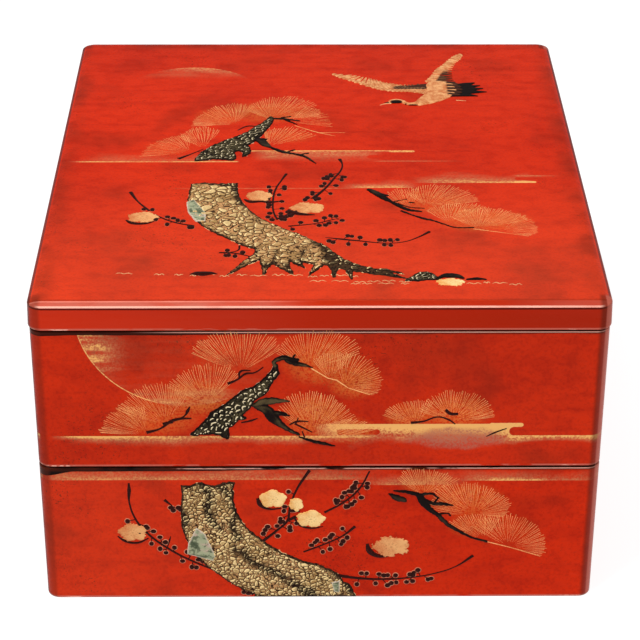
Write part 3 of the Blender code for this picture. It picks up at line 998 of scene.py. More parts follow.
LID_PLUM_DARK = [
    [(-55, -25.5, 1.4), (-44, -25.5, 2.2), (-37, -27, 3.2), (-34, -29, 2.8)],
    [(-35, -28, 2.6), (-32, -44, 1.8), (-26, -54, 0.6)], [(-17, -87, 0.2), (-18.5, -98, 0.8)],
    [(-6, -86, 0.3), (-8, -97, 0.8)], [(-26, -84, 0.2), (-25, -90, 0.6)],
    [(-4, -78, 0.6), (4, -88, 2.4), (8, -96, 6), (20, -104, 7), (33, -109, 6)], [(5, -98, 3), (6, -109, 2)],
    [(-30, -98, 0.6), (-36, -107, 1)], [(-21, -99, 1), (-22, -106, 1)], [(-14, -99, 1.4), (-10, -106, 1)],
]
LOWER_PLUM = [
    [(-45, 60, 11), (-45, 50, 10.4), (-44.5, 40, 11.6), (-41, 30, 12.7), (-34, 22, 12.7),
     (-25, 14.5, 12.3), (-13, 7, 13.4), (-6, -4, 21.5)],
]
LOWER_PLUM_DARK = [
    [(-47, 57, 2.2), (-44.5, 51.5, 1.7), (-45, 45, 1.6), (-43.5, 39.5, 1.8), (-41, 35.5, 1.2)],
    [(-41.5, 57, 2.2), (-37, 51.5, 1.2), (-34, 43.5, 1.2), (-35.5, 37, 1.4), (-33, 30.5, 1.5)],
    [(-35, 25, 1.4), (-31, 22.5, 1.8), (-26.5, 17.5, 1.8), (-18, 12.5, 1.6), (-9, 6.5, 2.0),
     (-4.5, 2.5, 3.2)],
    [(-58, 57.5, 0.8), (-34, 57.5, 1.2)], [(-56, 45, 1.0), (-54.5, 38, 1.7), (-55.5, 34.5, 1.0)],
    [(2, 17, 0.5), (17, 1, 2)],
]
UPPER_PINE = [
    [(-51, 79.8, 0.5), (-45.5, 82.5, 2.7), (-39.5, 86.2, 5.1), (-35.7, 89.8, 4.7), (-31.5, 94, 4.3),
     (-27.8, 98.2, 3.3), (-23.3, 101, 2.9), (-20, 104.8, 2.1), (-17.7, 108.5, 1.8), (-17.2, 112, 0.9)],
    [(-44, 82.5, 2.4), (-39, 82.5, 3.2), (-36.5, 78.2, 0.4)],
    [(-34, 90, 3), (-31, 88, 1.2), (-29, 87.6, 0.4)],
]
LID_PINE = [
    [(-53, -3, 0.6), (-48, 2, 4.4), (-42, 8, 6), (-37, 13.5, 5.8), (-30.4, 21, 4.6), (-25.5, 30, 3.2),
     (-22, 37, 2.2), (-20.5, 42, 1.2)],
    [(-44, 2, 4), (-40, 2, 4.6), (-36.5, -2.5, 0.6)], [(-34, 12, 4), (-31, 6, 2), (-33, 0, 0.5)],
]
trunk(
    "lid_plum_trunk", LID_PLUM, LID_PLUM_DARK, 0.4 * MM, 3.3 * MM, 0.8 * MM, (-200, -25.2), 4, GOLD_BARK,
    lobes=0.25
)
trunk(
    "lower_tier_plum_trunk", LOWER_PLUM, LOWER_PLUM_DARK, 0.29 * MM, 1.9 * MM, 0.75 * MM, (0.5, 56.6), 7,
    GOLD_BARK, lobes=0.9, gaps=0.17
)
trunk("upper_tier_pine_trunk", UPPER_PINE, [], 0.22 * MM, 2.2 * MM, 0.7 * MM, (70, 126), 9, BLACK_BARK)
trunk("lid_pine_trunk", LID_PINE, [], 0.28 * MM, 2.5 * MM, 0.7 * MM, (-200, 200), 12, BLACK_BARK)

# The pine branches. Thin arms of the same raised black lacquer, smooth but for a few knots, that carry the
# needles at the right of the lid and of each front.
def arms(name, limbs, seed, finish):
    """Smooth branches with a rounded back and a knotty outline."""

    def outline(across, up):
        return inside_limbs(across, up, limbs) + wave(across, up, 1.3 * MM, seed) * 0.28 * MM

    def relief(across, up, deep):
        shoulder = 1 - np.clip(deep / (0.9 * MM), 0, 1)
        ridges = wave(across, up, 0.9 * MM, seed + 5)
        height = 0.45 * MM * np.sqrt(1 - shoulder * shoulder) * (0.85 + 0.25 * ridges)
        return height, [shoulder]

    raised(name, around(limbs, 0.6), 0.25 * MM, outline, relief, finish)


def branch_finish(name, olive):
    """Black lacquer on a branch, rubbed through to olive in soft patches, with painted shade keeping it black
    towards its edges.
    """
    made, shader, place = new_finish(name)
    dust = grain(place, 2600, 2)
    # Painted shade: the olive is held back near the branch's edges, where its rounded back turns away from
    # the light.
    olive_and_edge_shade = calc("MULTIPLY_ADD", painted(place)[0], -0.25, grain(place, 130, 2))
    olive_and_edge_shade = ramp(calc("MULTIPLY_ADD", dust, 0.14, olive_and_edge_shade), 0.42, 0.76)
    dusted(shader, mixed(olive_and_edge_shade, SOOT, olive), dust, 0.3, 0.3, (0.1, 0.4), 0.05)
    return made


# Two strengths of wear: the branches of the upper tier show more of the olive beneath
BRANCH_OLIVE = branch_finish("branch_olive", (0.1, 0.07, 0.03, 1))
BRANCH_BLACK = branch_finish("branch_black", (0.035, 0.025, 0.014, 1))

UPPER_ARMS = [
    [(-26, 93.5, 0.8), (-22.5, 95, 1.7), (-18.5, 95.6, 1.6), (-15, 95.6, 0.9), (-12, 95.4, 0.3)],
    [(-25, 93, 1.0), (-21, 91.5, 2.1), (-18.5, 87.8, 2.2), (-15.5, 84.8, 1.4), (-12, 82, 0.9),
     (-8.5, 80, 0.55)],
    [(-17.5, 90, 1.2), (-14.5, 89.5, 1.0), (-12, 88.8, 0.3)],
    [(-8, 78.8, 0.4), (-3.5, 77, 0.65), (1, 75.8, 0.75), (6, 74.5, 0.3)],
    [(-17.5, 111.5, 0.9), (-17.8, 113.5, 0.8), (-14.5, 115.2, 1.1), (-11.5, 114.7, 0.9),
     (-8.5, 114.2, 0.5)],
    [(-13, 114, 0.9), (-10, 112.8, 1.1), (-6.5, 112, 0.8), (-3, 110.8, 0.3)],
    [(-10.5, 115, 0.5), (-9.7, 116.5, 0.4)],
]
LOWER_ARMS = [
    [(28, 51.5, 0.5), (31, 49.6, 1.4), (34, 48.6, 1.1), (34.6, 47.8, 0.4)],
    [(30, 53, 0.4), (35, 52.4, 0.8), (39.5, 51, 1.1), (41.5, 48, 1.6), (44, 44.6, 1.3), (48, 41, 0.9),
     (52, 36.6, 0.9), (57, 33, 0.7), (62, 30, 0.5), (68, 28.2, 0.6)],
    [(42, 48.5, 1.0), (46, 46.8, 0.8), (50, 46.5, 0.8), (54, 45.8, 0.3)], [(46, 47, 0.5), (48, 49.5, 0.35)],
    [(40, 51, 0.7), (45, 51.6, 0.6), (47.5, 49.8, 0.3)],
    [(47, 41.5, 0.4), (51.5, 42, 0.4), (53, 40.8, 0.3)],
]
LID_ARMS = [
    [(21.5, -31.5, 1.1), (25, -35.5, 1.8), (28, -40, 1.5), (31, -43.5, 0.7)],
    [(26, -35.5, 0.8), (29, -37, 0.5)],
    [(29, -41.5, 0.5), (33, -46.5, 0.9), (37.5, -50.5, 1.0), (42.5, -52, 0.5)],
    [(34.5, -51.5, 0.7), (39, -55.5, 0.5), (44, -58.8, 0.8), (46.5, -60, 0.55), (52, -64, 0.4),
     (56, -66.5, 0.4), (63, -66.5, 0.35)],
    [(31, -43, 0.25), (37, -40.5, 0.25)], [(31, -43, 0.3), (38, -48, 0.35), (44, -49, 0.25)],
    [(38, -43.5, 0.5), (40, -43.8, 0.3)],
]
LID_PINE_ARMS = [
    [(-29, 20, 1.4), (-25, 17.5, 2.1), (-23, 13.5, 1.9), (-20.5, 10.5, 0.8)],
    [(-26, 19.5, 0.7), (-22.5, 19, 0.6)], [(-21, 41, 0.7), (-15, 40.5, 0.8), (-8, 38.5, 0.4)],
    [(-15, 40.5, 0.7), (-9, 34.5, 0.4)], [(-16, 42, 0.5), (-12, 43, 0.4)],
    [(-21, 11, 0.6), (-16, 6.5, 1.2), (-12, 4.5, 0.8), (-6, 1.5, 0.8), (-1, -5.5, 0.35)],
    [(-8, 3, 0.5), (-4, 4.5, 0.35)], [(-13, 6, 0.5), (-10, 8, 0.4)],
]
arms("upper_tier_pine_arms", UPPER_ARMS, 21, BRANCH_OLIVE)
arms("lower_tier_pine_arms", LOWER_ARMS, 22, BRANCH_BLACK)
arms("lid_pine_right_arms", LID_ARMS, 23, BRANCH_BLACK)
arms("lid_pine_side_arms", LID_PINE_ARMS, 24, BRANCH_BLACK)

# The twigs. Long single strokes of black-brown lacquer, thick where the brush was set down and fine where
# it left, drawn from the trunks with short spurs.
def strokes(name, lines, flat, finish, kind="BEZIER", sides=1):
    """Painted lines of changing width, each a list of (across, up, half width), made mesh and laid on."""
    bpy.ops.object.select_all(action="DESELECT")
    drawing = bpy.data.curves.new(name, "CURVE")
    drawing.dimensions = "3D"
    drawing.bevel_depth = 1
    drawing.bevel_resolution = sides
    drawing.use_fill_caps = True
    drawing.resolution_u = 5
    for line in lines:
        spline = drawing.splines.new(kind)
        points = spline.points if kind == "POLY" else spline.bezier_points
        points.add(len(line) - 1)
        for point, (across, up, width) in zip(points, line):
            spot = (across * MM, up * MM, 0)
            point.co = spot + (1,) if kind == "POLY" else spot
            point.radius = width * MM
            if kind == "BEZIER":
                point.handle_left_type = point.handle_right_type = "AUTO"
    made = bpy.data.objects.new(name, drawing)
    bpy.context.collection.objects.link(made)
    made.select_set(True)
    bpy.context.view_layer.objects.active = made
    bpy.ops.object.convert(target="MESH")
    made = bpy.context.object
    made.data.transform(lay(name) @ Matrix.Diagonal((1, 1, flat, 1)))
    bpy.ops.object.shade_smooth_by_angle(angle=math.radians(50))
    dress(made, finish)


TWIG_BROWN, shader, place = new_finish("twig_brown")
dust = grain(place, 1800, 2)
colour = mixed(ramp(dust, 0.45, 0.8), (0.02, 0.003, 0.002, 1), (0.06, 0.009, 0.006, 1))
dusted(shader, colour, dust, 0.2, 0.3, None, 0.05)

LID_TWIGS = [
    [(-13.5, -16, 0.9), (-15.5, -22, 0.6), (-18, -31, 0.65), (-19, -43, 0.6), (-18.5, -53, 0.6),
     (-17, -59, 0.7)],
    [(-17.5, -59, 0.8), (-14, -55.5, 0.7), (-11, -52.5, 0.3)],
    [(9.5, -1.5, 1.1), (10.5, -6, 0.5), (10, -12, 0.6), (7, -20, 0.7), (3, -30, 0.8), (-2.5, -40, 1.2)],
    [(-12.5, -65, 0.7), (-1, -62.5, 0.5), (4, -60, 0.6), (9, -57.5, 0.25)],
    [(-79, -33.5, 1.1), (-75.5, -42, 0.6), (-70, -51, 0.8)],
    [(-68, -54, 0.5), (-62, -59.5, 0.7), (-57, -62.5, 0.7), (-51, -64.5, 0.7)],
    [(-32, -82, 0.6), (-32.5, -86, 0.6), (-36, -88, 0.5)],
    [(-40, -88, 0.8), (-34, -88.5, 0.7), (-27, -91.5, 0.5)],
    [(2.5, -75, 0.3), (9, -76.5, 0.9), (16, -78, 0.7), (27, -80, 0.5), (34, -79, 0.5), (40, -75, 0.6),
     (45, -70, 1.0)],
    [(-60.5, -1, 1.2), (-55, 4, 0.6), (-50, 9, 0.4)], [(-52, 6, 0.5), (-47, 5, 0.5)],
    [(-35.5, 28.5, 0.5), (-31, 33, 0.8), (-27, 33, 0.7), (-24, 36, 0.4)],
    [(-51, -106.2, 0.4), (-48.5, -105.6, 1.9), (-45.5, -105.7, 2.2), (-42.5, -105.3, 1.5),
     (-40, -106, 0.3)],
]
LOWER_TWIGS = [
    [(-76.5, 57, 0.5), (-76.5, 53.5, 1.0), (-76.7, 48, 0.5), (-74, 38.5, 0.6), (-69.5, 32, 0.65),
     (-60.5, 24, 0.65), (-51, 18, 0.6), (-41, 13, 0.4)],
    [(-62.5, 48.8, 0.9), (-59.5, 46, 0.35), (-54.5, 41.8, 0.3)],
    [(-62, 25.5, 0.3), (-61, 29, 0.5), (-60.5, 31, 0.2)],
    [(-4, 63, 0.9), (-5.5, 60.5, 0.8), (-9.5, 53, 0.6), (-12, 45, 0.6), (-13, 38.5, 0.7), (-17, 34, 0.7),
     (-23, 28.5, 0.9)],
    [(-13, 38.5, 0.8), (-9.5, 40.5, 1.0)],
    [(20, 62.5, 0.5), (16, 54, 0.6), (9.5, 47.3, 0.6), (2, 42.5, 0.7)],
    [(14.5, 35.6, 0.9), (9.5, 31, 0.5), (2, 26.8, 0.5), (-6.5, 23, 0.6)],
    [(5, 11.8, 1.1), (12.5, 10.2, 0.9), (24, 9.2, 0.7), (36, 9.8, 0.5), (48, 12.2, 0.4), (56, 15.5, 0.4),
     (63, 21, 0.9)],
    [(-27, 2.2, 1.5), (-30, 4, 0.6)],
]
UPPER_TWIGS = [
    [(-36, 103.5, 0.8), (-32, 105.5, 0.5), (-29, 108, 0.6), (-25.5, 108.5, 0.4), (-22, 111, 0.35)],
    [(-31.5, 106, 0.4), (-31, 109, 0.6), (-27, 109.5, 0.3)],
    [(-68.5, 81, 0.9), (-63, 82.8, 0.5), (-59, 86, 0.9), (-56, 87.2, 0.8), (-50.5, 87.6, 0.4)],
    [(-56, 87, 0.5), (-53, 89, 0.4), (-52, 91, 0.9), (-51, 93, 0.3)], [(-62, 85, 0.7), (-58, 86, 0.9)],
    [(-12, 84.5, 0.4), (-9, 86, 0.6), (-4.5, 86, 0.3)], [(-10, 85, 0.5), (-6.5, 83, 0.5), (-3, 81, 0.3)],
    [(-9.5, 84.5, 0.3), (-8.5, 87.8, 0.3)], [(-7, 81.5, 0.3), (-6, 78.5, 0.4)],
    [(36, 85.3, 0.8), (41, 86, 0.5), (46.5, 88, 0.4), (51, 86.6, 0.5), (53.5, 84.6, 0.3)],
    [(49.5, 91.3, 0.8), (51.5, 89.5, 0.9), (54.5, 89.4, 0.7)],
    [(74, 82.6, 0.3), (69, 80.5, 0.5), (66, 78.8, 0.2)],
    [(-31, 85.5, 0.4), (-27, 86.5, 0.6), (-24.5, 87.5, 0.3)],
]
for name, lines, brush in (
    ("lid_twigs", LID_TWIGS, 0.66),
    ("lower_tier_twigs", LOWER_TWIGS, 0.72),
    ("upper_tier_twigs", UPPER_TWIGS, 0.8),
):
    lines = [[(x, y, max(brush * width, 0.9 * width - 0.12)) for x, y, width in line] for line in lines]
    strokes(name, lines, 0.35, TWIG_BROWN)

# The plum buds. Each is a low black bead on a short stalk with a thin gold line drawn round it; they sit
# in loose sprays at both sides of a twig.
def beads(name, places, rise, finish):
    """Low round beads at (across, up, radius, radius upward), modelled once and copied."""
    bpy.ops.object.select_all(action="DESELECT")
    bpy.ops.mesh.primitive_uv_sphere_add(segments=12, ring_count=6, radius=1)
    model = bpy.context.object
    form = bmesh.new()
    for across, up, wide, tall in places:
        grown = bmesh.new()
        grown.from_mesh(model.data)
        put = Matrix.Translation((across * MM, up * MM, 0)) @ Matrix.Diagonal((wide * MM, tall * MM, rise, 1))
        bmesh.ops.transform(grown, matrix=lay(name) @ put, verts=grown.verts)
        whole = bpy.data.meshes.new("bead")
        grown.to_mesh(whole)
        form.from_mesh(whole)
        bpy.data.meshes.remove(whole)
        grown.free()
    bpy.data.objects.remove(model)
    mesh = bpy.data.meshes.new(name)
    form.to_mesh(mesh)
    form.free()
    made = bpy.data.objects.new(name, mesh)
    bpy.context.collection.objects.link(made)
    made.select_set(True)
    bpy.context.view_layer.objects.active = made
    bpy.ops.object.shade_smooth()
    dress(made, finish)


def spray(twig, first, last, count, reach, draw):
    """Where buds sit along a stretch of a twig, by turns at its two sides, and their stalks."""
    line = eased(list(twig), 8)
    spots, stalks = [], []
    for i in range(count):
        share = first + (last - first) * (i + draw.uniform(0.2, 0.8)) / count
        at = share * (len(line) - 1.001)
        a, b = line[int(at)], line[int(at) + 1]
        base = a + (b - a) * (at % 1)
        along = Vector((b[0] - a[0], b[1] - a[1])).normalized()
        side = Vector((-along.y, along.x)) * (1 if i % 2 else -1)
        root = Vector(base[:2]) / MM
        tip = root + side * reach * draw.uniform(0.5, 1.1) + along * draw.uniform(-0.3, 0.8) * reach
        ends = [(root, tip)]
        if draw.random() < 0.55:
            fork = root.lerp(tip, 0.45)
            spread = side * reach * draw.uniform(0.1, 0.5)
            ends.append((fork, fork + spread + along * reach * draw.choice((-0.7, 0.7))))
        for start, end in ends:
            spots.append(tuple(end))
            stalks.append([(start.x, start.y, 0.22), (end.x, end.y, 0.16)])
    return spots, stalks


def bud_work(name, twigs, sprays, size, tall, ring, seed):
    """Buds, their gold rings and their stalks for one side of the box."""
    draw = random.Random(seed)
    spots, stalks = [], []
    for number, first, last, count, reach in sprays:
        more, lines = spray(twigs[number], first, last, count, reach, draw)
        spots += more
        stalks += lines
    buds = [(x, y, size * draw.uniform(0.85, 1.15), size * tall * draw.uniform(0.85, 1.15)) for x, y in spots]
    rings = [(x, y, wide + ring, high + ring) for x, y, wide, high in buds]
    beads(name + "_buds", buds, 0.42 * MM, TWIG_BROWN)
    beads(name + "_bud_rings", rings, 0.13 * MM, RING_GOLD)
    strokes(name + "_bud_stalks", stalks, 0.5, TWIG_BROWN, "POLY")


def gold_finish(name, dull, bright, metal):
    """Gold powder burnished in lacquer: bright grains over a duller ground."""
    made, shader, place = new_finish(name)
    dust = grain(place, 2200, 3)
    laid = plus(product(dust, 0.6), product(grain(place, 220, 2), 0.5))
    dusted(shader, mixed(ramp(laid, 0.36, 0.72), dull, bright), dust, 0.2, 0.35, (0.08, 0.4), 0.1, metal)
    return made


LINE_GOLD = gold_finish("line_gold", (0.6, 0.26, 0.11, 1), (0.8, 0.46, 0.22, 1), 0.25)
RING_GOLD = gold_finish("ring_gold", (0.5, 0.12, 0.06, 1), (0.66, 0.25, 0.14, 1), 0.1)
LID_SPRAYS = [
    (0, 0.3, 1.0, 12, 3.4), (1, 0.2, 0.9, 5, 2.6), (2, 0.45, 1.0, 11, 3.8), (3, 0, 0.9, 9, 3.2),
    (4, 0.75, 1.0, 2, 2.0), (5, 0.1, 0.9, 5, 3), (7, 0, 1, 5, 2.4), (8, 0.1, 0.6, 8, 3.4),
]
LOWER_SPRAYS = [
    (0, 0.4, 0.92, 12, 3.2), (1, 0.4, 0.9, 2, 1.4), (3, 0.35, 0.98, 11, 3.6), (5, 0.2, 0.75, 11, 3.0),
    (6, 0.2, 0.85, 9, 3.2), (7, 0.2, 0.62, 11, 3.0), (8, 0.1, 0.8, 2, 1.8),
]
bud_work("lid", LID_TWIGS, LID_SPRAYS, 1.15, 1.35, 0.1, 5)
bud_work("lower_tier", LOWER_TWIGS, LOWER_SPRAYS, 1.12, 1.0, 0.24, 8)

# The pine needles. Fans of hairlines drawn in gold with a fine brush, from the rim of each fan in towards
# the bud at its foot, so that they crowd into one golden patch there.
def fan(foot, ends, count, draw, starts, widths):
    """The needles of one fan: ends lists points on its rim in order round the foot."""
    ends = [(x - foot[0], y - foot[1]) for x, y in ends]
    turns = np.unwrap([math.atan2(y, x) for x, y in ends])
    rows = eased([(turn / MM, math.hypot(x, y) / MM, 0) for turn, (x, y) in zip(turns, ends)], 8)
    lines = []
    for i in range(count):
        at = (i + draw.uniform(-0.12, 0.12)) / (count - 1) * (len(rows) - 1)
        at = min(max(at, 0), len(rows) - 1.001)
        turn, length = (rows[int(at)] + (rows[int(at) + 1] - rows[int(at)]) * (at % 1))[:2]
        length *= draw.uniform(0.94, 1.04)
        start = length * starts[i % 3] * draw.uniform(0.7, 1.3)
        lean = 0.06 * draw.uniform(0.4, 1.3) * (1 if i > count / 2 else -1)
        line = []
        for share, width in zip((0, 0.5, 1), widths):
            reach = start + (length - start) * share
            at_turn = turn + lean * (share * share - 0.5)
            line.append((foot[0] + reach * math.cos(at_turn), foot[1] + reach * math.sin(at_turn), width))
        lines.append(line)
    return lines


NEEDLE_GOLD = gold_finish("needle_gold", (0.62, 0.17, 0.045, 1), (0.86, 0.42, 0.16, 1), 0.1)
FINE_GOLD = gold_finish("fine_needle_gold", (0.66, 0.19, 0.05, 1), (0.92, 0.48, 0.18, 1), 0.05)
LID_FANS = [
    ((-56, 6), [(-77, 1), (-75.5, 8), (-73, 14.5), (-68, 19.5), (-63, 23), (-57, 23.5)], 30),
    ((-50, 10), [(-62, 22), (-59, 27), (-54.5, 31.5), (-49, 32), (-43, 29)], 26),
    ((-37, 35), [(-56, 33), (-55.5, 38), (-52.5, 46), (-47, 53.5), (-40, 57.5), (-33.5, 57.5),
     (-28.5, 53.5)], 44),
    ((-20.5, 40.5), [(-32, 50), (-30, 56.5), (-24, 63), (-16.5, 65.5), (-8.5, 64.5), (-2.5, 59),
     (1.5, 49.5), (2, 43)], 50),
    ((-12, 37.5), [(-5, 55), (2, 49), (6, 40.5), (7, 32)], 16),
    ((-21, 12), [(-24, 26), (-21, 30), (-14, 32), (-6, 30), (0, 23)], 26),
    ((38, -49), [(27, -37), (31.5, -31.5), (37, -30), (43, -30)], 18),
    ((45, -47), [(37, -35), (41.5, -29), (48.5, -26.5), (55, -27.5), (61.5, -31), (65.5, -36.5),
     (67, -43)], 40),
    ((53.5, -61.5), [(44, -51), (50, -46.5), (57, -44.5), (64, -44.5), (70, -47.5)], 32),
    ((65.5, -67), [(54, -57), (58, -52), (62, -49), (67, -48), (72.5, -48.5), (78, -51), (83, -54),
     (87, -59)], 48),
    ((75, -69.5), [(82, -55), (86.5, -58.5), (89.5, -64.5), (89.5, -69.5), (86, -74)], 20),
]
UPPER_FANS = [
    ((-68.5, 80.5), [(-87.5, 80.5), (-86.5, 83.5), (-83.5, 88), (-80, 91.5), (-75, 93.5), (-69, 93)], 30),
    ((-61, 85), [(-80, 91), (-78, 94.5), (-74, 99), (-69, 102.5), (-62.5, 104), (-56, 103),
     (-51, 99.5)], 38),
    ((-44, 94.5), [(-60, 102), (-57, 106), (-53, 109), (-47.5, 112), (-41, 112.5), (-35, 111),
     (-31, 107.5)], 38),
    ((-31, 109), [(-50, 117), (-48, 121), (-45, 123.5), (-39, 126), (-32, 126.5), (-25, 126), (-18, 124),
     (-15, 119)], 46),
    ((-4, 110.5), [(-17, 117), (-14, 123), (-8, 126.5), (0, 127), (7, 126.5), (13, 123), (16, 117)], 40),
    ((4, 105.5), [(-3, 114), (1, 117), (7, 118), (12, 116)], 20),
    ((9.5, 102.5), [(6, 114.5), (11, 117), (17, 116), (22, 111), (24.5, 105), (23.5, 100), (20, 98)], 34),
    ((-3, 80.5), [(-17, 90), (-14, 96), (-10, 98.5), (-5, 99.7), (-0.5, 99.5), (4, 98), (8, 95.5),
     (11, 92.5), (14, 88)], 42),
    ((0, 77.5), [(-1, 83.5), (4.5, 85.5), (9, 87), (14, 87), (19, 85), (23, 82)], 30),
    ((38, 84.5), [(24.5, 88.5), (28, 92.5), (33.5, 95), (39, 96), (45, 95)], 28),
    ((52.5, 86.5), [(39, 90.5), (40.5, 94.5), (45, 98), (49.5, 100), (55, 100), (60.5, 98.5), (65, 95.5),
     (68, 91), (69, 87.5)], 46),
]
LOWER_FANS = [
    ((42, 51), [(31, 58), (33, 62), (38, 63.5), (44, 63), (50, 61.5), (56, 58)], 34),
    ((62, 41.5), [(45, 42), (44.5, 48), (47.5, 53.5), (52, 56), (57, 57), (62.5, 56.5), (69, 54),
     (73.5, 51), (77, 47), (76.5, 43), (75, 40)], 62),
    ((67, 29), [(51, 36), (55, 39.5), (61, 41.5), (67, 41.5), (73, 39)], 28),
    ((77, 25.5), [(62, 35), (67, 40), (72.5, 41.5), (79, 41), (86, 37.5), (91, 31.5), (92.5, 26),
     (91.5, 20.5)], 50),
]
NEEDLE_STEMS = {
    "lid": [
        [(-10, 33.5, 0.2), (-4.5, 29.5, 0.3), (0.5, 26, 0.3), (8, 22.5, 0.12)],
        [(0.5, 26, 0.2), (12.5, 26, 0.1)], [(63, -67.5, 0.2), (85, -74, 0.12)],
    ],
    "upper_tier": [
        [(-3.5, 110.5, 0.25), (3, 106, 0.2), (6.5, 105, 0.25), (11, 101.5, 0.2), (19.5, 98.3, 0.15)],
    ],
    "lower_tier": [[(68, 28, 0.2), (78, 25, 0.2), (90.5, 20.5, 0.1)]],
}
needles = random.Random(14)
for name, fans, finish, starts, widths in (
    ("lid", LID_FANS, NEEDLE_GOLD, (0.12, 0.45, 0.28), (0.03, 0.085, 0.11)),
    ("upper_tier", UPPER_FANS, FINE_GOLD, (0.2, 0.5, 0.36), (0.025, 0.06, 0.085)),
    ("lower_tier", LOWER_FANS, FINE_GOLD, (0.2, 0.5, 0.36), (0.025, 0.06, 0.085)),
):
    lines = [line for foot, ends, count in fans for line in fan(foot, ends, count, needles, starts, widths)]
    strokes(name + "_needles", lines + NEEDLE_STEMS[name], 0.45, finish, "POLY", 0)

# The plum blossoms. Petals are raised a little in clay and dusted with pale gold, with stamens dotted in
# brown and a black calyx drawn under one side.
def blossom_finish(name, low, high, stamen):
    """Pale gold powder over raised petals, lighter where each petal's tone is higher, with stamens dotted on.
    """
    made, shader, place = new_finish(name)
    tone, dots = painted(place)[:2]
    dust = grain(place, 2000, 3)
    laid = plus(tone, product(minus(dust, 0.5), 0.8))
    colour = mixed(dots, mixed(ramp(laid, 0.1, 0.9), low, high), stamen)
    dusted(shader, colour, dust, 0.2, 0.4, (0.08, 0.4), 0.08, 0.05)
    return made


BLOSSOM_GOLD = blossom_finish(
    "blossom_gold", (0.56, 0.17, 0.055, 1), (0.76, 0.38, 0.15, 1), (0.3, 0.1, 0.03, 1)
)
BLOSSOM_CREAM = blossom_finish(
    "blossom_cream", (0.74, 0.36, 0.1, 1), (0.92, 0.63, 0.28, 1), (0.3, 0.16, 0.04, 1)
)


def blossom(name, middle, half_wide, half_tall, turn, rough, finish):
    """One blossom: petals round the middle like the edge of a cloud, with a few stamens."""
    seed = middle[0]
    leans = [turn + i * math.tau / 5 for i in range(5)]
    petals = [(0.54 * math.cos(lean), 0.54 * math.sin(lean)) for lean in leans]
    small = min(half_wide, half_tall) * MM

    def local(across, up):
        return (across / MM - middle[0]) / half_wide, (up / MM - middle[1]) / half_tall

    def outline(across, up):
        u, v = local(across, up)
        deep = np.minimum(0.86 - np.hypot(u, v), 0.62 + v)
        for x, y in petals:
            deep = np.maximum(deep, 0.44 - np.hypot(u - x, v - y))
        return deep * small + wave(across, up, 0.8 * MM, seed) * rough * MM

    def relief(across, up, deep):
        u, v = local(across, up)
        away = np.sort(np.array([np.hypot(u - x, v - y) for x, y in petals]), axis=0)
        out = np.hypot(u, v)
        fold = np.maximum(np.clip((away[1] - away[0]) / 0.16, 0, 1), np.clip(1.6 - 2.4 * out, 0, 1))
        shoulder = 1 - np.clip(deep / (0.8 * MM), 0, 1)
        height = 0.42 * MM * np.sqrt(1 - shoulder * shoulder) * (0.75 + 0.25 * np.maximum(fold, out < 0.16))
        lean = np.arctan2(v, u) * 2.4
        dots = (np.abs(out - 0.3) < 0.06) & (np.cos(lean * 4) > 0.72)
        stamens = np.clip(dots.astype(float) + (out < 0.07), 0, 1)
        stamens = stamens * (v < 0.35)
        cloud = 0.5 + wave(across, up, 2.5 * MM, seed + 4) * 0.7
        # Each petal's tone rises towards the right, at the middle and along the folds, and falls towards the
        # edges.
        tone = 0.3 * (u + 0.6) + 0.35 * cloud + 0.15 * fold + 0.1 - 0.25 * shoulder
        return height, [np.clip(tone, 0, 1), 0.5 * stamens]

    low = (middle[0] - half_wide, middle[1] - half_tall, 0)
    high = (middle[0] + half_wide, middle[1] + half_tall, 0)
    raised(name, around([[low, high]], 1), 0.22 * MM, outline, relief, finish)


BLOSSOMS = {
    "lid": (
        ((-24.8, -37.4), 5.9, 5.2, 0.3, 0.6, BLOSSOM_GOLD), ((-4.7, -48.8), 7.6, 5.4, 0.6, 0.6, BLOSSOM_GOLD),
        ((-72.5, -57), 6.6, 5.2, 0.1, 0.7, BLOSSOM_GOLD),
    ),
    "lower_tier": (
        ((-75.8, 33), 6.2, 4.6, 0.5, 0.5, BLOSSOM_GOLD), ((-18.8, 49.2), 5.8, 4.6, 0.32, 0.3, BLOSSOM_CREAM),
        ((-9.4, 46.4), 3.1, 3.6, 0.9, 0.3, BLOSSOM_CREAM), ((-3.6, 39.4), 6.2, 4.4, 0.1, 0.35, BLOSSOM_CREAM),
        ((29.3, 25.6), 7.8, 5.2, 0.7, 1.0, BLOSSOM_GOLD),
    ),
}
for shell, rows in BLOSSOMS.items():
    for number, row in enumerate(rows, 1):
        blossom("%s_blossom_%d" % (shell, number), *row)

LID_CALYXES = [
    [(-31, -40.5, 0.5), (-28.5, -42.6, 1.2), (-24, -42.4, 0.8), (-20, -43.2, 0.9), (-16.5, -42, 0.3)],
    [(-12.5, -50, 0.6), (-10, -53, 1.5), (-5.5, -54.5, 1.0), (-1.5, -54.8, 0.3)],
    [(-79, -59.5, 0.5), (-76.5, -62, 1.1), (-71, -62.4, 0.8), (-67.5, -60.6, 0.3)],
]
LOWER_CALYXES = [
    [(-82, 31, 0.3), (-79, 28.6, 0.6), (-74, 27.8, 0.5), (-69.5, 30, 0.3)],
    [(-25, 49.5, 0.6), (-24, 46.5, 1.0), (-20.5, 44.3, 0.5), (-15.5, 44.6, 0.3)],
    [(-10.2, 44, 0.6), (-8, 42.9, 0.5)],
    [(-10, 39.5, 0.4), (-8, 36.4, 0.6), (-3, 34.8, 0.4), (1.5, 35.6, 0.2)],
    [(19.5, 27, 0.6), (20.5, 23.4, 1.3), (24, 20.9, 0.9), (28, 20.6, 0.3)],
]
strokes("lid_calyxes", LID_CALYXES, 0.4, TWIG_BROWN)
strokes("lower_tier_calyxes", LOWER_CALYXES, 0.4, TWIG_BROWN)

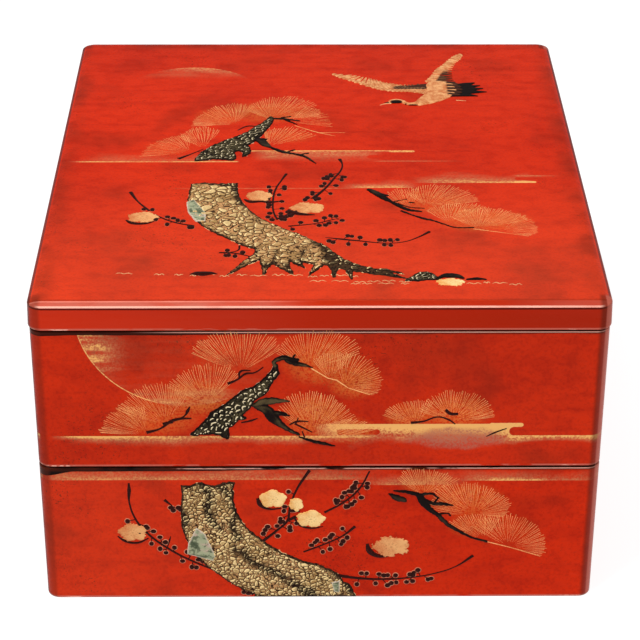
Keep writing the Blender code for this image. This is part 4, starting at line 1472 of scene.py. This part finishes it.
# The crane. A flying crane in low raised work: the wings and the tail are overlapping feathers laid from a
# smooth leading edge, the body is dusted with gold, and the cheek, the wing roots and the tail are darkened.
def feathered(name, limbs, rise, crease_width, dark):
    """Overlapping feathers, each its own ridge, with the creases between them drawn dark."""

    def outline(across, up):
        return inside_limbs(across, up, limbs)

    def relief(across, up, deep):
        each = np.sort(np.array([inside_limbs(across, up, [limb]) for limb in limbs]), axis=0)
        crease = 1 - np.clip((each[-1] - each[-2]) / (crease_width * MM), 0, 1)
        shoulder = 1 - np.clip(deep / (0.7 * MM), 0, 1)
        height = rise * np.sqrt(1 - shoulder * shoulder) * (1 - 0.3 * crease)
        return height, [crease, np.clip(dark(across / MM, up / MM), 0, 1)]

    raised(name, around(limbs, 0.5), 0.22 * MM, outline, relief, CRANE_GOLD)


def wing(front_edge, back_edge, count, widths):
    """Feathers from points along a wing's front edge to the tips along its back edge."""
    front = eased([point + (0,) for point in front_edge], 8)
    back = eased([point + (0,) for point in back_edge], 8)
    limbs = []
    for i in range(count):
        share = i / (count - 1)
        a = front[round(share * (len(front) - 1))] / MM
        b = back[round(min(share * 0.86 + 0.14, 1) * (len(back) - 1))] / MM
        middle = (a[0] + b[0]) / 2, (a[1] + b[1]) / 2
        limbs.append([(a[0], a[1], widths[0]), (*middle, widths[1]), (b[0], b[1], widths[2])])
    return limbs


CRANE_GOLD, shader, place = new_finish("crane_gold")
crease, dark = painted(place)[:2]
dust = grain(place, 2000, 3)
rubbed = calc("MULTIPLY_ADD", grain(place, 420, 3), 0.7, product(dust, 0.3))
colour = mixed(ramp(rubbed, 0.36, 0.62), (0.56, 0.17, 0.055, 1), (0.8, 0.4, 0.17, 1))
colour = mixed(product(crease, 0.85), colour, (0.42, 0.12, 0.04, 1))
brown = mixed(product(crease, 0.4), (0.055, 0.017, 0.008, 1), (0.62, 0.34, 0.15, 1))
shaded = ramp(calc("MULTIPLY_ADD", minus(dust, 0.5), 0.5, dark), 0.15, 0.5)
colour = mixed(ramp(dark, 0.65, 0.9), mixed(shaded, colour, brown), SOOT)
dusted(shader, colour, dust, 0.2, 0.38, None, 0.06, 0.05)

LEFT_WING = wing(
    [(52, 68.5), (48.5, 70), (42.5, 71.8), (37.5, 72), (32, 73), (26.5, 76), (19.5, 81.4), (12.5, 87),
     (8.6, 91)],
    [(53, 75), (51, 80.3), (45, 79.3), (41.5, 78.8), (37.5, 79.3), (34.5, 80.8), (31.5, 81.8), (28.5, 84.3),
     (26, 85.8), (23.5, 87.3), (20.5, 88.8), (16.5, 90.3), (8, 91.6)],
    22, (1.2, 0.95, 0.25),
)
LEFT_WING += [
    [(50, 69.5, 1.0), (42.5, 72.2, 1.2), (37.5, 72.4, 1.2), (32, 73.5, 1.1), (26.5, 76.6, 1.1),
     (19.5, 82, 1.0), (11.5, 88, 0.7)],
    [(42, 75.6, 1.6), (46, 76.4, 2.2), (50.5, 77.2, 2.5), (53, 77, 2.0)],
]
RIGHT_WING = wing(
    [(52, 83), (54.5, 88), (56.5, 94), (58.5, 98), (61.3, 102.5), (63.7, 107.5), (66.5, 112), (69, 114.5)],
    [(65, 77), (65, 81), (63.7, 85), (63.7, 89), (63.7, 94), (64.7, 99), (65.7, 103), (67.2, 106.5),
     (68.9, 109), (70, 113)],
    17, (1.3, 1.0, 0.3),
)
CRANE_BODY = [
    [(61, 73, 4.0), (57, 68.4, 5.8), (51.5, 62, 4.4), (46.8, 57.5, 2.3)],
    [(53.8, 77.5, 3.0), (57, 78.5, 4.2), (60.5, 76.5, 4)],
    [(53.5, 72, 2.2), (53.3, 78, 2.3), (54.8, 82, 1.4)],
    [(48.5, 59.5, 2.7), (45.5, 57.1, 1.7), (42.6, 56.6, 1.25), (40.8, 57.6, 1.15), (39.3, 59.4, 1.3),
     (37, 59.9, 2.1), (35, 59.6, 1.9), (33.4, 59.2, 0.8)],
]
CRANE_HIND = [
    [(57, 80, 1.6), (62, 80.5, 1.5), (65.5, 79, 0.9)], [(57, 77, 1.7), (62.5, 77.2, 1.6), (66.6, 76, 0.9)],
    [(57, 74, 1.7), (63, 73.8, 1.6), (67, 72.8, 0.9)], [(57, 71, 1.7), (63, 70.5, 1.6), (66.6, 69.6, 0.9)],
    [(57.5, 68.3, 1.6), (62, 67.6, 1.4), (65.6, 66.9, 0.8)],
]
CRANE_TAIL = [
    [(62, 74, 3), (68, 78, 2.6), (73.5, 81, 0.6)], [(62, 73, 3), (69, 76, 2.4), (75.8, 77.8, 0.5)],
    [(62, 72, 3), (70, 73.6, 2.4), (77, 74.4, 0.5)], [(62, 70, 3), (70, 70.6, 2.4), (78.4, 70.6, 0.5)],
    [(62, 68, 2.8), (68, 67.4, 2.0), (74, 66, 0.5)],
]


def wing_root_left(across, up):
    """Brown along the left wing from its root to the middle."""
    top = 76.2 + 0.36 * (across - 34.5)
    between = np.clip((top - up) / 0.8, 0, 1) * np.clip((up - 73) / 0.6, 0, 1)
    return 0.6 * np.clip((across - 34) / 3, 0, 1) * between


def wing_root_right(across, up):
    """Brown along the middle of the right wing, near the body."""
    high = np.clip((100 - up) / 9, 0, 1) * np.clip((up - 77) / 2, 0, 1)
    return 0.55 * np.clip((across - 53.8 - (up - 80) * 0.32) / 2.0, 0, 1) * high


def neck_shade(across, up):
    """Black under the neck and across the cheek."""
    cheek = 1.5 - np.hypot((across - 36.4) / 2.1, (up - 58.5) / 1.6)
    under = np.clip((55.8 - up) / 0.4, 0, 1) * (across < 46)
    under += np.clip((56.9 - up) / 0.5, 0, 1) * (across < 41)
    crown = np.clip((up - 60.2 - (across - 36) * 0.1) / 0.4, 0, 1) * (across < 39.5)
    return np.clip(np.maximum(np.clip(cheek * 1.6, 0, 1) * (1 - crown), under), 0, 1)


def tail_black(across, up):
    """Black all over the tail."""
    return np.ones(across.shape)


def hind_shade(across, up):
    """Brown towards the tips of the hind feathers."""
    return 0.6 * np.clip((across - 59) / 2.5, 0, 1)


feathered("crane_left_wing", LEFT_WING, 0.35 * MM, 0.5, wing_root_left)
feathered("crane_right_wing", RIGHT_WING, 0.35 * MM, 0.75, wing_root_right)
feathered("crane_tail", CRANE_TAIL, 0.3 * MM, 0.3, tail_black)
feathered("crane_hind_feathers", CRANE_HIND, 0.62 * MM, 0.6, hind_shade)
feathered("crane_body", CRANE_BODY, 0.55 * MM, 0.05, neck_shade)
strokes("crane_leg", [[(64, 61.2, 0.3), (68.5, 60.6, 0.15)]], 0.5, LINE_GOLD)
strokes("crane_beak", [[(34, 57.9, 0.5), (31.5, 57.4, 0.35), (28.8, 55.8, 0.2)]], 0.5, LINE_GOLD)
strokes("crane_beak_top", [[(34.2, 59, 0.7), (32.6, 58.8, 0.45), (31, 58.4, 0.2)]], 0.6, TWIG_BROWN)

# The ground. A broken ripple of gold marks the turf under the plum, with small rocks in black bark work, a
# pale tuft and two fallen leaves.
ground = random.Random(3)


def ripple(start, end, up, fall):
    """A broken wavy line from one place across to another."""
    lines = []
    across = start
    while across < end:
        length = ground.uniform(2.5, 7)
        level = up + fall * (across - start) / (end - start) + ground.uniform(-0.7, 0.7)
        line = []
        for i in range(5):
            swing = (0.5 if i % 2 else -0.5) * ground.uniform(0.4, 1.2)
            line.append((across + length * i / 4, level + swing, 0.24 if 0 < i < 4 else 0.1))
        lines.append(line)
        across += length + ground.uniform(0.3, 3)
    return lines


TURF = ((-57, 14, -106.5, -1.5), (-4, 34, -111.5, -1.0), (12, 34, -113.6, 0), (57, 78, -113.5, -1))
turf = [line for row in TURF for line in ripple(*row)]
turf += ripple(-80, -57, -105.5, -0.5)[::2]
strokes("lid_turf", turf, 0.3, LINE_GOLD)
ROCK = [[(34, -111.5, 0.8), (38, -109.5, 2.6), (41.5, -107.6, 3.4), (45.5, -110, 1.6)]]
trunk("lid_rock", ROCK, [], 0.3 * MM, 2.2 * MM, 0.6 * MM, (-200, 200), 31, BLACK_BARK)
STONES = [
    [(46, -109.8, 0.5), (49.5, -107.6, 1.7), (53.5, -107.9, 1.7), (56, -109.5, 0.8)],
    [(50, -106.6, 0.8), (55, -108.6, 0.4)], [(57.5, -110.8, 0.5), (61, -110.2, 1.1), (65, -110.8, 0.4)],
]
arms("lid_stones_and_leaves", STONES, 33, BRANCH_BLACK)
blossom("lid_pale_tuft", (51, -113), 6.0, 3.2, 0.2, 0.5, BLOSSOM_CREAM)

# The mother-of-pearl. Thin slips of shell are set flush in the bark of the two plum trunks, and shimmer
# green and pink.
PEARL, shader, place = new_finish("mother_of_pearl")
drift = grain(place, 190, 4, (1, 1.6, 1.6))
colour = mixed(ramp(drift, 0.34, 0.5), (0.08, 0.1, 0.055, 1), (0.34, 0.36, 0.22, 1))
colour = mixed(ramp(drift, 0.54, 0.64), colour, (0.5, 0.36, 0.28, 1))
film = ramp(grain(place, 620, 3), 0.48, 0.64)
colour = mixed(product(film, 0.75), colour, (0.045, 0.06, 0.03, 1))
border = product(painted(place)[0], ramp(grain(place, 300, 2), 0.36, 0.5, 0.5, 1.0))
feed(shader["Base Color"], mixed(border, colour, (0.66, 0.54, 0.42, 1)))
shader["Roughness"].default_value = 0.3
shader["Specular IOR Level"].default_value = 0.08


def slip(name, corners, rise):
    """A flat slip of shell with straight sides, its corners listed the way a clock runs backwards."""
    sides = list(zip(corners, corners[1:] + corners[:1]))

    def outline(across, up):
        deep = np.full(across.shape, 1.0)
        for (x0, y0), (x1, y1) in sides:
            long = math.hypot(x1 - x0, y1 - y0)
            deep = np.minimum(deep, ((x1 - x0) * (up - y0 * MM) - (y1 - y0) * (across - x0 * MM)) / long)
        return deep + wave(across, up, 1.5 * MM, rise) * 0.12 * MM

    def relief(across, up, deep):
        height = rise * (1 - 0.25 * (1 - np.clip(deep / (0.3 * MM), 0, 1)) ** 2) + 0 * across
        return height, [1 - np.clip(deep / (0.7 * MM), 0, 1)]

    area = around([[(x, y, 0) for x, y in corners]], 0.5)
    raised(name, area, 0.25 * MM, outline, relief, PEARL)


LID_SLIP = [(-55, -44), (-54, -53), (-50.5, -61), (-46.5, -61.5), (-46.5, -54), (-52, -41.5)]
LOWER_SLIP = [(-50, 35.5), (-53.5, 27.5), (-54, 22.5), (-43.5, 19), (-42.5, 21.5), (-46.5, 32.5)]
SMALL_SLIP = [(5, 8), (6, 3.5), (8.5, 2.5), (8.5, 9)]
slip("lid_pearl_slip", LID_SLIP, 0.72 * MM)
slip("lower_tier_pearl_slip_1", LOWER_SLIP, 0.78 * MM)
slip("lower_tier_pearl_slip_2", SMALL_SLIP, 0.78 * MM)
